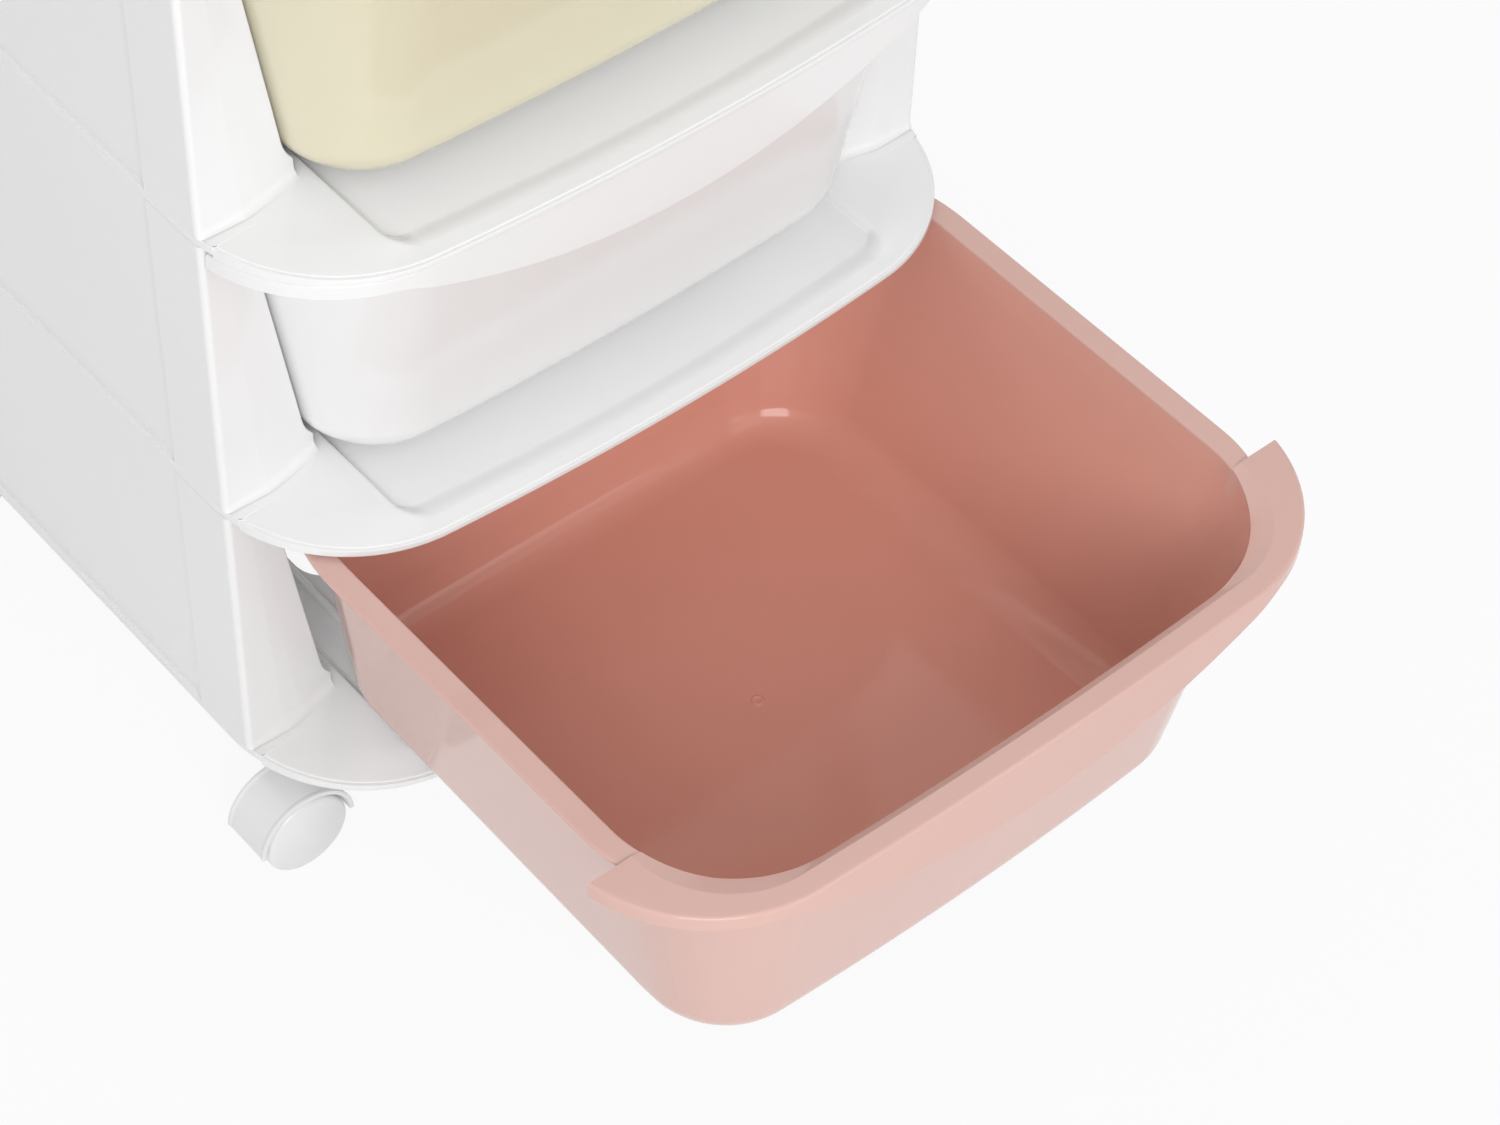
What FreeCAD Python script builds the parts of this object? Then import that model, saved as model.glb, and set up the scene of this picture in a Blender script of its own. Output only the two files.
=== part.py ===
import FreeCAD, Part
import math
import os

V = FreeCAD.Vector

# Frame: millimetres, front towards -Y, floor at z = 0
frame_width = 400.0
frame_depth = 304.0
tier_pitch = 165.0
drawer_open = 248.0
cutter_margin = 1.0

# Shelf plate, heights counted down from the top of its ears
shelf_reach = 69.5
shelf_bow = 10.5
bow_arc_share = 0.6
shelf_corner = 79.0
shelf_skin = 2.5
shelf_edge_height = 7.0
shelf_skirt_height = 5.0
shelf_back_corner = 6.0
crown_drop = 3.0
crown_width = 20.0
crown_steps = 5
lip_width = 1.8
lip_drop = 0.9
lip_setback = 6.0

# Sunk pan in the middle of each shelf
ear_width = 60.5
pan_front_strip = 11.0
pan_depth = 5.0
pan_skin = 2.0
pan_slope = 7.0
pan_corner = 14.0
pan_back_margin = 9.0
window_side_margin = 25.5
window_front = 65.0
window_back_margin = 44.0
window_corner = 18.0
runner_width = 3.0
runner_front = 4.0
runner_margin = 3.0
rib_thickness = 1.8
rib_height = 3.6
ear_rib_count = 4

# Side panels
panel_wall = 2.5
column_depth = 38.5
column_lean = 9.5
column_middle_lean = 3.2
column_front_radius = 120.0
column_edge_radius = 3.0
column_foot_width = 54.5
column_return = 13.0
panel_setback = 2.0
rear_post_depth = 34.0
rear_post_width = 24.0
rail_thickness = 2.4
gusset_height = 15.0
gusset_count = 4
gusset_setback = 2.0
foot_width = 12.0
peg_radius = 3.8
peg_clearance = 0.2
peg_length = 4.2
peg_inset = 15.0
peg_front = 58.0
peg_back_margin = 58.0

# Back rails
back_rail_thickness = 5.0
back_rail_height = 46.0
back_rail_drop = 12.0
back_rail_dip = 14.0
back_rail_corner = 4.0
back_rail_arch = 900.0

# Drawers
drawer_wall = 2.2
drawer_gap = 0.3
side_gap = 1.2
flange_gap = 1.0
wing_gap = 0.8
rail_grip = 6.0
wing_inset = 0.5
wing_corner = 78.0
wing_drop = 8.0
flange_setback = 4.5
flange_bow = 5.0
flange_skin = 2.4
apron_depth = 38.0
apron_arc = 345.0
apron_flare = 1.0
rim_inset = 16.0
rim_width = 11.8
rim_step = 1.2
rim_skin = 2.4
rim_front_width = 15.0
rim_back_gap = 1.5
inner_chamfer = 4.5
mouth_side_chamfer = 2.8
mouth_corner = 50.0
mouth_drop = 1.6
side_draft = 0.175
front_draft = 0.16
back_draft = 0.127
back_narrowing = 2.0
tub_bow = 4.5
tub_front_corner = 66.0
tub_front_corner_low = 41.0
tub_back_corner = 94.0
tub_back_corner_low = 47.0
tub_floor_radius = 25.0

# Casters
wheel_radius = 22.5
wheel_width = 11.5
wheel_dome = 3.0
wheel_edge = 2.5
wheel_hub_radius = 6.0
wheel_recess = 2.0
wheel_bevel = 1.5
axle_end_gap = 0.5
hood_gap = 1.6
hood_skin = 2.0
hood_lower_angle = 2.0
web_thickness = 5.0
wheel_side_gap = 0.4
axle_radius = 2.5
running_clearance = 0.05
caster_trail = 17.0
caster_inset = 30.0
caster_front = 11.0
caster_back_margin = 30.0
boss_radius = 6.5
boss_rise = 3.9
boss_gap = 0.5
stem_radius = 3.5
stem_grip = 12.0
stem_end_gap = 1.0
socket_radius = 10.0
socket_height = 16.5
socket_roof = 2.0
socket_fin = 5.0

# Sizes that follow from the ones above
half_width = frame_width / 2
pan_half_width = half_width - ear_width
window_half_width = pan_half_width - window_side_margin
wing_half_width = half_width - wing_inset
rim_half_width = half_width - rim_inset
flange_front = shelf_reach - flange_setback
rim_front_inner = flange_front - rim_front_width
drawer_top = tier_pitch - shelf_edge_height - flange_gap
drawer_bottom = drawer_gap
rim_top = drawer_top - rim_step
rim_under = rim_top - rim_skin
rail_top = rim_under - drawer_gap
panel_top = tier_pitch - shelf_skin
wall_top = tier_pitch - shelf_skirt_height
tongue_outer = half_width - shelf_skin - peg_clearance
tub_half_width = rim_half_width - rim_width + drawer_wall
tub_front = rim_front_inner + drawer_wall
rim_back = frame_depth - back_rail_thickness - rim_back_gap
tub_back = rim_back - rim_half_width + tub_half_width
pan_front = shelf_reach - pan_front_strip
hood_inner = wheel_radius + hood_gap
hood_outer = hood_inner + hood_skin
caster_half_width = web_thickness / 2 + wheel_side_gap + wheel_width
boss_top = wheel_radius + hood_outer + boss_rise
base_height = boss_top + boss_gap + socket_height + shelf_skin
row_shift = (drawer_open + flange_front + apron_flare - frame_depth) / 2
TIERS = (1, 2, 3)
SIDES = (("left", -1), ("right", 1))
ENDS = (("front", -caster_front), ("rear", frame_depth - caster_back_margin))


def rounded_wire(points, place):
    """Closed wire through (u, v, radius) corners; place turns (u, v) into a vector."""
    edges = []
    starts = []
    arcs = []
    count = len(points)
    for i in range(count):
        p = V(points[i][0], points[i][1], 0)
        a = V(points[i - 1][0], points[i - 1][1], 0).sub(p)
        b = V(points[(i + 1) % count][0], points[(i + 1) % count][1], 0).sub(p)
        a.normalize()
        b.normalize()
        radius = points[i][2]
        half = a.getAngle(b) / 2
        if radius < 1e-6:
            starts.append((p, p))
            arcs.append(None)
            continue
        reach = radius / math.tan(half)
        bisector = a.add(b)
        bisector.normalize()
        middle = p.add(bisector * (radius / math.sin(half) - radius))
        starts.append((p.add(a * reach), p.add(b * reach)))
        arcs.append(middle)
    for i in range(count):
        enter, leave = starts[i]
        if arcs[i] is not None:
            edges.append(Part.Arc(place(enter), place(arcs[i]), place(leave)).toShape())
        nxt = starts[(i + 1) % count][0]
        if leave.distanceToPoint(nxt) > 1e-6:
            edges.append(Part.LineSegment(place(leave), place(nxt)).toShape())
    return Part.Wire(edges)


def plan_wire(points, z):
    return rounded_wire(points, lambda p: V(p.x, p.y, z))


def prism(points, low, high):
    """Upright prism over a plan outline."""
    return Part.Face(plan_wire(points, low)).extrude(V(0, 0, high - low))


def front_prism(points, near, far):
    """Prism along +Y over an outline of (x, z, radius) corners."""
    wire = rounded_wire(points, lambda p: V(p.x, near, p.y))
    return Part.Face(wire).extrude(V(0, far - near, 0))


def side_prism(points, left, right):
    """Prism along +X over an outline of (y, z, radius) corners."""
    wire = rounded_wire(points, lambda p: V(left, p.x, p.y))
    return Part.Face(wire).extrude(V(right - left, 0, 0))


def loft(low_points, low, high_points, high):
    """Ruled solid between two plan outlines with the same corners."""
    return Part.makeLoft([plan_wire(low_points, low), plan_wire(high_points, high)], True, True)


def box(x0, x1, y0, y1, z0, z1):
    return Part.makeBox(x1 - x0, y1 - y0, z1 - z0, V(x0, y0, z0))


def post(x, y, low, high, radius):
    return Part.makeCylinder(radius, high - low, V(x, y, low), V(0, 0, 1))


def mirrored(shape):
    return shape.mirror(V(0, 0, 0), V(1, 0, 0))


def both(shape):
    return [shape, mirrored(shape)]


def bow_corner(half, front, bow):
    """Middle corner of a bowed front whose foremost point is at y = -front."""
    lead = bow * bow_arc_share / (2 - bow_arc_share)
    slope = math.atan2(bow + lead, half)
    radius = bow_arc_share * half / math.cos(slope) / math.tan(slope)
    return (0.0, -front - lead, radius)


def bowed_outline(half, front, bow, corner, back, back_corner, back_half=None):
    """Plan outline with a straight back at y = back and a bowed front."""
    rear = back_half or half
    return [
        (-rear, back, back_corner),
        (-half, bow - front, corner),
        bow_corner(half, front, bow),
        (half, bow - front, corner),
        (rear, back, back_corner),
    ]


def shelf_outline(inset, front_inset=0.0):
    """Shelf plan drawn in on every side, and further at its bowed front."""
    total = inset + front_inset
    return bowed_outline(
        half_width - inset, shelf_reach - total, shelf_bow, shelf_corner - total,
        frame_depth - inset, shelf_back_corner)


def pan_outline(grow):
    """Outline of the sunk pan, grown outwards on every side."""
    bow = shelf_bow * pan_half_width / half_width
    corner = pan_corner + grow
    back = frame_depth - pan_back_margin + grow
    return bowed_outline(pan_half_width + grow, pan_front + grow, bow, corner, back, corner)


def full_width(y0, y1, z0, z1):
    """Box across the whole frame, used to choose one stretch of a form."""
    return box(-half_width, half_width, y0, y1, z0, z1)


def crowned_block(inset, top):
    """Shelf form whose top rolls down towards the bowed front."""
    low = prism(shelf_outline(inset), -shelf_edge_height, top - crown_drop)
    wires = []
    for step in range(crown_steps + 1):
        share = step / crown_steps
        height = top - crown_drop * (1 - share) ** 2
        wires.append(plan_wire(shelf_outline(inset, crown_width * share), height))
    return low.fuse(Part.makeLoft(wires, True, True)).removeSplitter()


def shelf_blank():
    """Rolled top skin, front lip and side skirts, hollow underneath."""
    lip_zone = full_width(-shelf_reach - cutter_margin, -lip_setback, -shelf_edge_height, 0)
    lip = crowned_block(0, -lip_drop).common(lip_zone)
    side_zone = full_width(lip_width - lip_setback, frame_depth, -shelf_edge_height, 0)
    side = prism(shelf_outline(0), -shelf_skirt_height, 0).common(side_zone)
    hollow = crowned_block(lip_width + shelf_skin, -shelf_skin)
    under_side = full_width(0, frame_depth, -shelf_edge_height, -shelf_skirt_height)
    side_hollow = prism(shelf_outline(shelf_skin), -shelf_edge_height, -shelf_skin)
    side_hollow = side_hollow.common(full_width(0, frame_depth, -shelf_edge_height, -shelf_skin))
    body = crowned_block(lip_width, 0).fuse([lip, side]).removeSplitter()
    return body.cut([hollow, under_side, side_hollow])


def ear_ribs():
    """Cross ribs under both ears, between the front and rear pegs."""
    ribs = []
    outer = tongue_outer - panel_wall - peg_clearance
    first = peg_front + peg_inset
    last = frame_depth - peg_back_margin - peg_inset
    low = -shelf_skin - rib_height
    for i in range(ear_rib_count):
        y = first + i * (last - first) / (ear_rib_count - 1)
        ribs.extend(both(box(pan_half_width, outer, y, y + rib_thickness, low, -shelf_skin)))
    return ribs


def shelf_pan():
    """Sunk pan with sloping sides, and the cutter for its inside."""
    bowl = loft(pan_outline(shelf_skin - pan_slope), -pan_depth - pan_skin, pan_outline(shelf_skin), 0)
    inside = loft(pan_outline(-pan_slope), -pan_depth, pan_outline(0), 0)
    return bowl.common(crowned_block(lip_width, 0)), inside


def pan_window():
    back = frame_depth - window_back_margin
    points = [
        (-window_half_width, window_front, window_corner),
        (window_half_width, window_front, window_corner),
        (window_half_width, back, window_corner),
        (-window_half_width, back, window_corner),
    ]
    return prism(points, -pan_depth - pan_skin - cutter_margin, 0)


def runners():
    """Raised strips that the drawer floor passes over."""
    x0 = window_half_width + runner_margin
    x1 = x0 + runner_width
    back = frame_depth - pan_back_margin - pan_slope - runner_margin
    side = [
        (runner_front, -pan_depth, 0),
        (back, -pan_depth, 0),
        (back, 0, 0),
        (runner_front + pan_depth, 0, 0),
    ]
    return both(side_prism(side, x0, x1))


def peg_spots():
    x = half_width - peg_inset
    return [(x, peg_front), (x, frame_depth - peg_back_margin)]


def closed_shelf():
    """Shelf form with an unbroken shallow tray."""
    bowl, inside = shelf_pan()
    return shelf_blank().fuse([bowl] + ear_ribs()).cut(inside).removeSplitter()


def shelf():
    """Shelf between tiers: open pan with runners, and peg holes for the panels above."""
    bosses = []
    holes = [pan_window()]
    for x, y in peg_spots():
        bosses.extend(both(post(x, y, -shelf_edge_height, -shelf_skin, peg_radius + shelf_skin)))
        holes.extend(both(post(x, y, -shelf_edge_height, 0, peg_radius + peg_clearance)))
    return closed_shelf().fuse(bosses).cut(holes).fuse(runners()).removeSplitter()


def socket_fins(x, y):
    """Four fins that brace a caster socket against the skin above."""
    fins = []
    half = rib_thickness / 2
    for turn in (0, 90, 180, 270):
        fin = box(socket_radius - half, socket_radius + socket_fin, -half, half, 0, rib_height)
        fin.rotate(V(0, 0, 0), V(0, 0, 1), turn)
        fin.translate(V(x, y, -shelf_skin - rib_height))
        fins.extend(both(fin))
    return fins


def base_shelf():
    """Lowest shelf with a socket for each caster stem."""
    low = -shelf_skin - socket_height
    x = half_width - caster_inset
    sockets = []
    bores = []
    for _, y in ENDS:
        sockets.extend(both(post(x, y, low, -shelf_skin / 2, socket_radius)))
        sockets.extend(socket_fins(x, y))
        bores.extend(both(post(x, y, low, -shelf_skin - socket_roof, stem_radius + running_clearance)))
    return shelf().fuse(sockets).cut(bores).removeSplitter()


def wall_x(z):
    """Outer half-width of the drawer wall at height z over the shelf ears."""
    return tub_half_width - side_draft * (drawer_top - z)


def column_block():
    """Front view of a right-hand column, filled: its inside follows the drawer and clears the rim."""
    notch = rail_top - rail_thickness
    low = drawer_bottom - side_gap
    foot = half_width - column_foot_width
    block = box(foot, half_width, 0, column_depth, 0, panel_top)
    passage = front_prism([
        (0, low, 0),
        (wall_x(low) + side_gap, low, tub_floor_radius + side_gap),
        (wall_x(notch) + side_gap, notch, 0),
        (0, notch, 0),
    ], 0, column_depth)
    slot = box(0, rim_half_width + side_gap, 0, column_depth, notch, panel_top)
    return block.cut([passage, slot])


def column_plan():
    """Plan of the column's rounded front skin and outer wall."""
    inner_x = half_width - column_foot_width - cutter_margin
    middle_x = (half_width + inner_x) / 2
    outer = half_width - panel_wall
    return [
        (half_width, column_depth, 0),
        (half_width, 0, column_edge_radius),
        (middle_x, column_middle_lean, column_front_radius),
        (inner_x, column_lean, 0),
        (inner_x, column_lean + panel_wall, 0),
        (middle_x, column_middle_lean + panel_wall, column_front_radius),
        (outer, panel_wall, column_edge_radius - panel_wall),
        (outer, column_depth, 0),
    ]


def front_column():
    """Rounded column skin with a lining along the drawer's passage."""
    profile = column_block()
    skin = prism(column_plan(), 0, panel_top).common(profile)
    thinner = profile.copy()
    thinner.translate(V(panel_wall, 0, 0))
    depth = column_lean + column_return
    lining_zone = box(0, half_width, column_lean, depth, 0, rail_top - rail_thickness)
    lining = profile.cut(thinner).common(lining_zone)
    under_skin = prism(shelf_outline(shelf_skin), wall_top, tier_pitch)
    skirt_room = full_width(0, frame_depth, wall_top, tier_pitch).cut(under_skin)
    return skin.fuse(lining).cut(skirt_room)


def rear_post():
    outer = half_width - panel_wall
    start = frame_depth - rear_post_depth
    points = [
        (half_width, start, 0),
        (half_width, frame_depth, column_edge_radius),
        (half_width - rear_post_width, frame_depth, 0),
        (half_width - rear_post_width, frame_depth - panel_wall, 0),
        (outer, frame_depth - panel_wall, 0),
        (outer, start, 0),
    ]
    return prism(points, 0, wall_top)


def panel_skin():
    """Set-back wall between the posts, with its top tongue and foot."""
    outer = half_width - panel_setback
    inner = outer - panel_wall
    start = column_depth
    end = frame_depth - rear_post_depth
    wall = box(inner, outer, start - panel_wall, end + panel_wall, 0, wall_top)
    lap_low = wall_top - panel_wall
    lap_inner = tongue_outer - panel_wall
    lap = box(lap_inner, tongue_outer, start - panel_wall, end + panel_wall, lap_low, panel_top)
    foot = box(inner - foot_width, inner, start, end, 0, panel_wall)
    return [wall, lap, foot]


def drawer_rail():
    """Ledge under the drawer rim, on triangular gussets."""
    outer = half_width - panel_setback - panel_wall
    inner = rim_half_width - rail_grip
    start = column_lean + panel_wall
    end = frame_depth - panel_wall
    low = rail_top - rail_thickness
    pieces = [box(inner, outer, start, end, low, rail_top)]
    points = [(inner + gusset_setback, low, 0), (outer, low, 0), (outer, low - gusset_height, 0)]
    step = (end - start - column_depth) / gusset_count
    for i in range(gusset_count):
        y = start + column_depth + i * step
        pieces.append(front_prism(points, y, y + rib_thickness))
    joined = half_width - panel_wall / 2
    pieces.append(box(outer, joined, start, column_depth, low, rail_top))
    pieces.append(box(outer, joined, frame_depth - rear_post_depth, end, low, rail_top))
    return pieces


def side_panel():
    """Right-hand side of one tier, from the ears below to the skin above."""
    pegs = []
    for x, y in peg_spots():
        pegs.append(post(x, y, -peg_length, panel_wall, peg_radius))
    return front_column().fuse([rear_post()] + panel_skin() + drawer_rail() + pegs).removeSplitter()


def back_rail():
    """Cross rail between the rear posts, with an arched lower edge, a stiffening bead and end tabs."""
    half = half_width - rear_post_width - peg_clearance
    high = rail_top - rail_thickness - back_rail_drop
    low = high - back_rail_height
    near = frame_depth - back_rail_thickness
    middle = frame_depth - panel_wall
    outline = [
        (-half, high, back_rail_corner),
        (-half, low, back_rail_corner),
        (0, low + back_rail_dip, back_rail_arch),
        (half, low, back_rail_corner),
        (half, high, back_rail_corner),
    ]
    plate = front_prism(outline, middle, frame_depth)
    bead = box(-half, half, near, frame_depth, high - 2 * panel_wall, high - panel_wall)
    tab = box(half - foot_width, half + foot_width, near, middle, low + panel_wall, high - panel_wall)
    return plate.fuse([bead] + both(tab)).removeSplitter()


def tub_outline(inset, low):
    """Plan of the drawer tub at its rim or, with low, at its floor."""
    depth = drawer_top - drawer_bottom
    narrow = side_draft * depth if low else 0.0
    front = tub_front - inset - (front_draft * depth if low else 0.0)
    back = tub_back - inset - (back_draft * depth if low else 0.0)
    half = tub_half_width - inset - narrow
    front_corner = (tub_front_corner_low if low else tub_front_corner) - inset
    back_corner = (tub_back_corner_low if low else tub_back_corner) - inset
    return bowed_outline(
        half, front, tub_bow, front_corner, back, back_corner, half - (back_narrowing if low else 0.0))


def floor_edges(solid, z):
    """Edges lying on the lowest face of a tub."""
    return [e for e in solid.Edges if all(abs(v.Z - z) < 1e-4 for v in e.Vertexes)]


def tub():
    outside = loft(tub_outline(0, True), drawer_bottom, tub_outline(0, False), drawer_top)
    outside = outside.makeFillet(tub_floor_radius, floor_edges(outside, drawer_bottom))
    floor = drawer_bottom + drawer_wall
    inside = loft(tub_outline(drawer_wall, True), floor, tub_outline(drawer_wall, False), drawer_top)
    inside = inside.makeFillet(tub_floor_radius - drawer_wall, floor_edges(inside, floor))
    return outside, inside


def front_outline(half, front, bow, corner):
    """Outline of a form at the drawer's front; its square back end is cut away later."""
    return bowed_outline(half, front, bow, corner, 2 * wing_corner, 0)


def flange_outline(grow):
    return front_outline(wing_half_width + grow, flange_front + grow, flange_bow, wing_corner + grow)


def mouth_outline(share):
    """Mouth of the tub, from its inner wall at share 0 to the top of its chamfer at share 1."""
    inner_corner = tub_front_corner - drawer_wall
    half = tub_half_width - drawer_wall + mouth_side_chamfer * share
    corner = inner_corner + (mouth_corner - inner_corner) * share
    return front_outline(half, rim_front_inner + inner_chamfer * share, tub_bow, corner)


def rim_outline():
    back_corner = tub_back_corner + rim_half_width - tub_half_width
    return bowed_outline(rim_half_width, rim_front_inner, tub_bow, tub_front_corner, rim_back, back_corner)


def apron():
    """Down-turned handle apron with a smiling lower edge."""
    low = drawer_top - apron_depth
    span = wing_half_width + apron_flare + cutter_margin
    front = -flange_front - apron_flare - cutter_margin
    outer = loft(flange_outline(apron_flare), low, flange_outline(0), drawer_top)
    inner = loft(flange_outline(apron_flare - drawer_wall), low, flange_outline(-drawer_wall), drawer_top)
    smile = Part.makeCylinder(apron_arc, -wing_gap - front, V(0, front, low + apron_arc), V(0, 1, 0))
    band = box(-span, span, front, -wing_gap, drawer_top - wing_drop, drawer_top)
    zone = smile.fuse(band).common(box(-span, span, front, -wing_gap, low, drawer_top))
    return outer.cut(inner).common(zone)


def drawer():
    """Open tub with narrow side and back rims and a wide handle flange in front."""
    outside, inside = tub()
    flange_low = drawer_top - flange_skin
    wing_zone = full_width(-half_width, -wing_gap, flange_low, drawer_top)
    flange = prism(flange_outline(0), flange_low, drawer_top).common(wing_zone)
    rim_zone = full_width(-wing_gap - flange_skin, frame_depth, rim_under, rim_top)
    rim = prism(rim_outline(), rim_under, rim_top).common(rim_zone)
    trim = full_width(-wing_gap, frame_depth, rim_top, tier_pitch)
    mouth = loft(mouth_outline(0), drawer_top - mouth_drop, mouth_outline(1), drawer_top).common(wing_zone)
    shell = outside.cut(trim).fuse([flange, rim, apron()]).cut([inside, mouth])
    return shell.removeSplitter()


def cross_cylinder(radius, half):
    """Cylinder along Y about the axle, reaching half to each side."""
    return Part.makeCylinder(radius, 2 * half, V(0, -half, wheel_radius), V(0, 1, 0))


def hood_ring(radius):
    """Cross-section of the hood's half ring, filled to the given radius."""
    a = math.radians(hood_lower_angle)
    left = V(-radius * math.cos(a), 0, wheel_radius + radius * math.sin(a))
    right = V(radius * math.cos(a), 0, wheel_radius + radius * math.sin(a))
    arc = Part.Arc(left, V(0, 0, wheel_radius + radius), right).toShape()
    return Part.Face(Part.Wire([arc, Part.LineSegment(right, left).toShape()]))


def hood():
    """Half-round hood with a web between the wheels and a boss for the stem."""
    half_web = web_thickness / 2
    low = wheel_radius + hood_inner * math.sin(math.radians(hood_lower_angle))
    gap = box(-hood_outer, hood_outer, 0, 2 * caster_half_width, 0, low)
    span = V(0, 2 * caster_half_width, 0)
    shell = hood_ring(hood_outer).extrude(span).cut([hood_ring(hood_inner).extrude(span), gap])
    shell.translate(V(0, -caster_half_width, 0))
    web = hood_ring(hood_outer - hood_skin / 2).extrude(V(0, web_thickness, 0))
    web.translate(V(0, -half_web, 0))
    hub = cross_cylinder(wheel_hub_radius, half_web)
    boss_low = wheel_radius + math.sqrt(hood_outer ** 2 - (caster_trail + boss_radius) ** 2) - hood_skin
    boss = post(caster_trail, 0, boss_low, boss_top, boss_radius)
    boss = boss.cut(cross_cylinder(hood_inner, caster_half_width))
    body = shell.fuse([web, hub, boss])
    return body.cut([cross_cylinder(axle_radius, half_web), stem()]).removeSplitter()


def stem():
    """Swivel pin from the hood's boss into the socket above."""
    high = base_height - shelf_skin - socket_roof - stem_end_gap
    return post(caster_trail, 0, boss_top - stem_grip, high, stem_radius)


def axle():
    return cross_cylinder(axle_radius, caster_half_width - wheel_edge)


def wheel():
    """Domed wheel on the +Y side of the web, turned about its axle."""
    bore = axle_radius + running_clearance
    inner = web_thickness / 2 + wheel_side_gap
    outer = inner + wheel_width
    recess = inner + wheel_recess
    shoulder = outer - wheel_edge
    bore_end = shoulder + axle_end_gap
    rim = wheel_radius - wheel_edge
    crown = outer + wheel_dome
    corners = [
        (0, crown), (0, bore_end), (bore, bore_end), (bore, inner), (wheel_hub_radius, inner),
        (wheel_hub_radius, recess), (rim - wheel_recess, recess), (rim, inner),
        (wheel_radius, inner + wheel_bevel), (wheel_radius, shoulder),
    ]
    outline = Part.makePolygon([V(x, y, 0) for x, y in corners]).Edges
    diagonal = wheel_edge * math.sqrt(0.5)
    bend = V(rim + diagonal, shoulder + diagonal, 0)
    dome_radius = (rim ** 2 + wheel_dome ** 2) / (2 * wheel_dome)
    halfway = V(rim / 2, crown - dome_radius + math.sqrt(dome_radius ** 2 - rim ** 2 / 4), 0)
    shoulder_arc = Part.Arc(V(wheel_radius, shoulder, 0), bend, V(rim, outer, 0)).toShape()
    dome_arc = Part.Arc(V(rim, outer, 0), halfway, V(0, crown, 0)).toShape()
    face = Part.Face(Part.Wire(outline + [shoulder_arc, dome_arc]))
    body = face.revolve(V(0, 0, 0), V(0, 1, 0), 360)
    body.translate(V(0, 0, wheel_radius))
    return body


def placed_caster(shape, side, y):
    """Caster piece made with the wheel under the origin, put under one corner."""
    x = half_width - caster_inset + caster_trail
    moved = shape.copy()
    moved.translate(V(-x, y, 0))
    return moved if side < 0 else mirrored(moved)


def save(name, shape, y=0.0, z=0.0):
    moved = shape.copy()
    moved.translate(V(0, y + row_shift, z))
    moved.exportStep("parts/" + name + ".step")


def build_frame():
    shelf_shape = shelf()
    panel = side_panel()
    rail = back_rail()
    save("base_shelf", base_shelf(), z=base_height)
    for tier in TIERS:
        floor = base_height + (tier - 1) * tier_pitch
        if tier > 1:
            save("shelf_%d" % tier, shelf_shape, z=floor)
        save("side_panel_left_%d" % tier, mirrored(panel), z=floor)
        save("side_panel_right_%d" % tier, panel, z=floor)
        save("back_rail_%d" % tier, rail, z=floor)
    save("top_panel", closed_shelf(), z=base_height + len(TIERS) * tier_pitch)


def build_drawers():
    shape = drawer()
    for tier in TIERS:
        out = drawer_open if tier == 1 else 0.0
        save("drawer_%d" % tier, shape, y=-out, z=base_height + (tier - 1) * tier_pitch)


def build_casters():
    far_wheel = wheel()
    near_wheel = far_wheel.mirror(V(0, 0, 0), V(0, 1, 0))
    pieces = {
        "hood": hood(),
        "stem": stem(),
        "axle": axle(),
        "wheel_near": near_wheel,
        "wheel_far": far_wheel,
    }
    for end, y in ENDS:
        for side_name, side in SIDES:
            for piece, shape in pieces.items():
                save("caster_%s_%s_%s" % (end, side_name, piece), placed_caster(shape, side, y))


os.makedirs("parts", exist_ok=True)
build_frame()
build_drawers()
build_casters()
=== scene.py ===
import math

import bmesh
import bpy
from mathutils import Matrix, Vector


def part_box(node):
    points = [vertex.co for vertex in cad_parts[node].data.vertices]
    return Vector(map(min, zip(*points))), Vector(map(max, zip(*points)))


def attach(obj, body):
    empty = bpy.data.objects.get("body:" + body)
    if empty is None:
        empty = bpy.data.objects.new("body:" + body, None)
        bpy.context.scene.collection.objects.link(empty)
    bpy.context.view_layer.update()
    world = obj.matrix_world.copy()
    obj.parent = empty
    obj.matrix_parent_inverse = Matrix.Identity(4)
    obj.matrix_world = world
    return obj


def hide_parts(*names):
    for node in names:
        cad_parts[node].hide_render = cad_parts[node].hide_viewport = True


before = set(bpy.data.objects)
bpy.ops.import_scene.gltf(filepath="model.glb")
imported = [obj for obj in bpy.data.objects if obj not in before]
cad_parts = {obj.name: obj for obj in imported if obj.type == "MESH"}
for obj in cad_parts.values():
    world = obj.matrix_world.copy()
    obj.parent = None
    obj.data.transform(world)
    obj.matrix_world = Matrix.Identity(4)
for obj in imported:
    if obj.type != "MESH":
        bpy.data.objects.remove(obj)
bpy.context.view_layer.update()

# Millimetres. Local places: x from the middle, y from the column fronts, z from the floor of a tier
MM = 0.001
frame_depth = 304.0
half_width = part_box("shelf_2")[1].x / MM
front_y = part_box("shelf_2")[1].y / MM - frame_depth
shelf_nodes = {1: "base_shelf", 2: "shelf_2", 3: "shelf_3", 4: "top_panel"}
floors = {tier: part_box(node)[1].z / MM for tier, node in shelf_nodes.items()}
tier_pitch = floors[2] - floors[1]
TIERS = (1, 2, 3)
SIDES = (("left", -1), ("right", 1))

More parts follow.
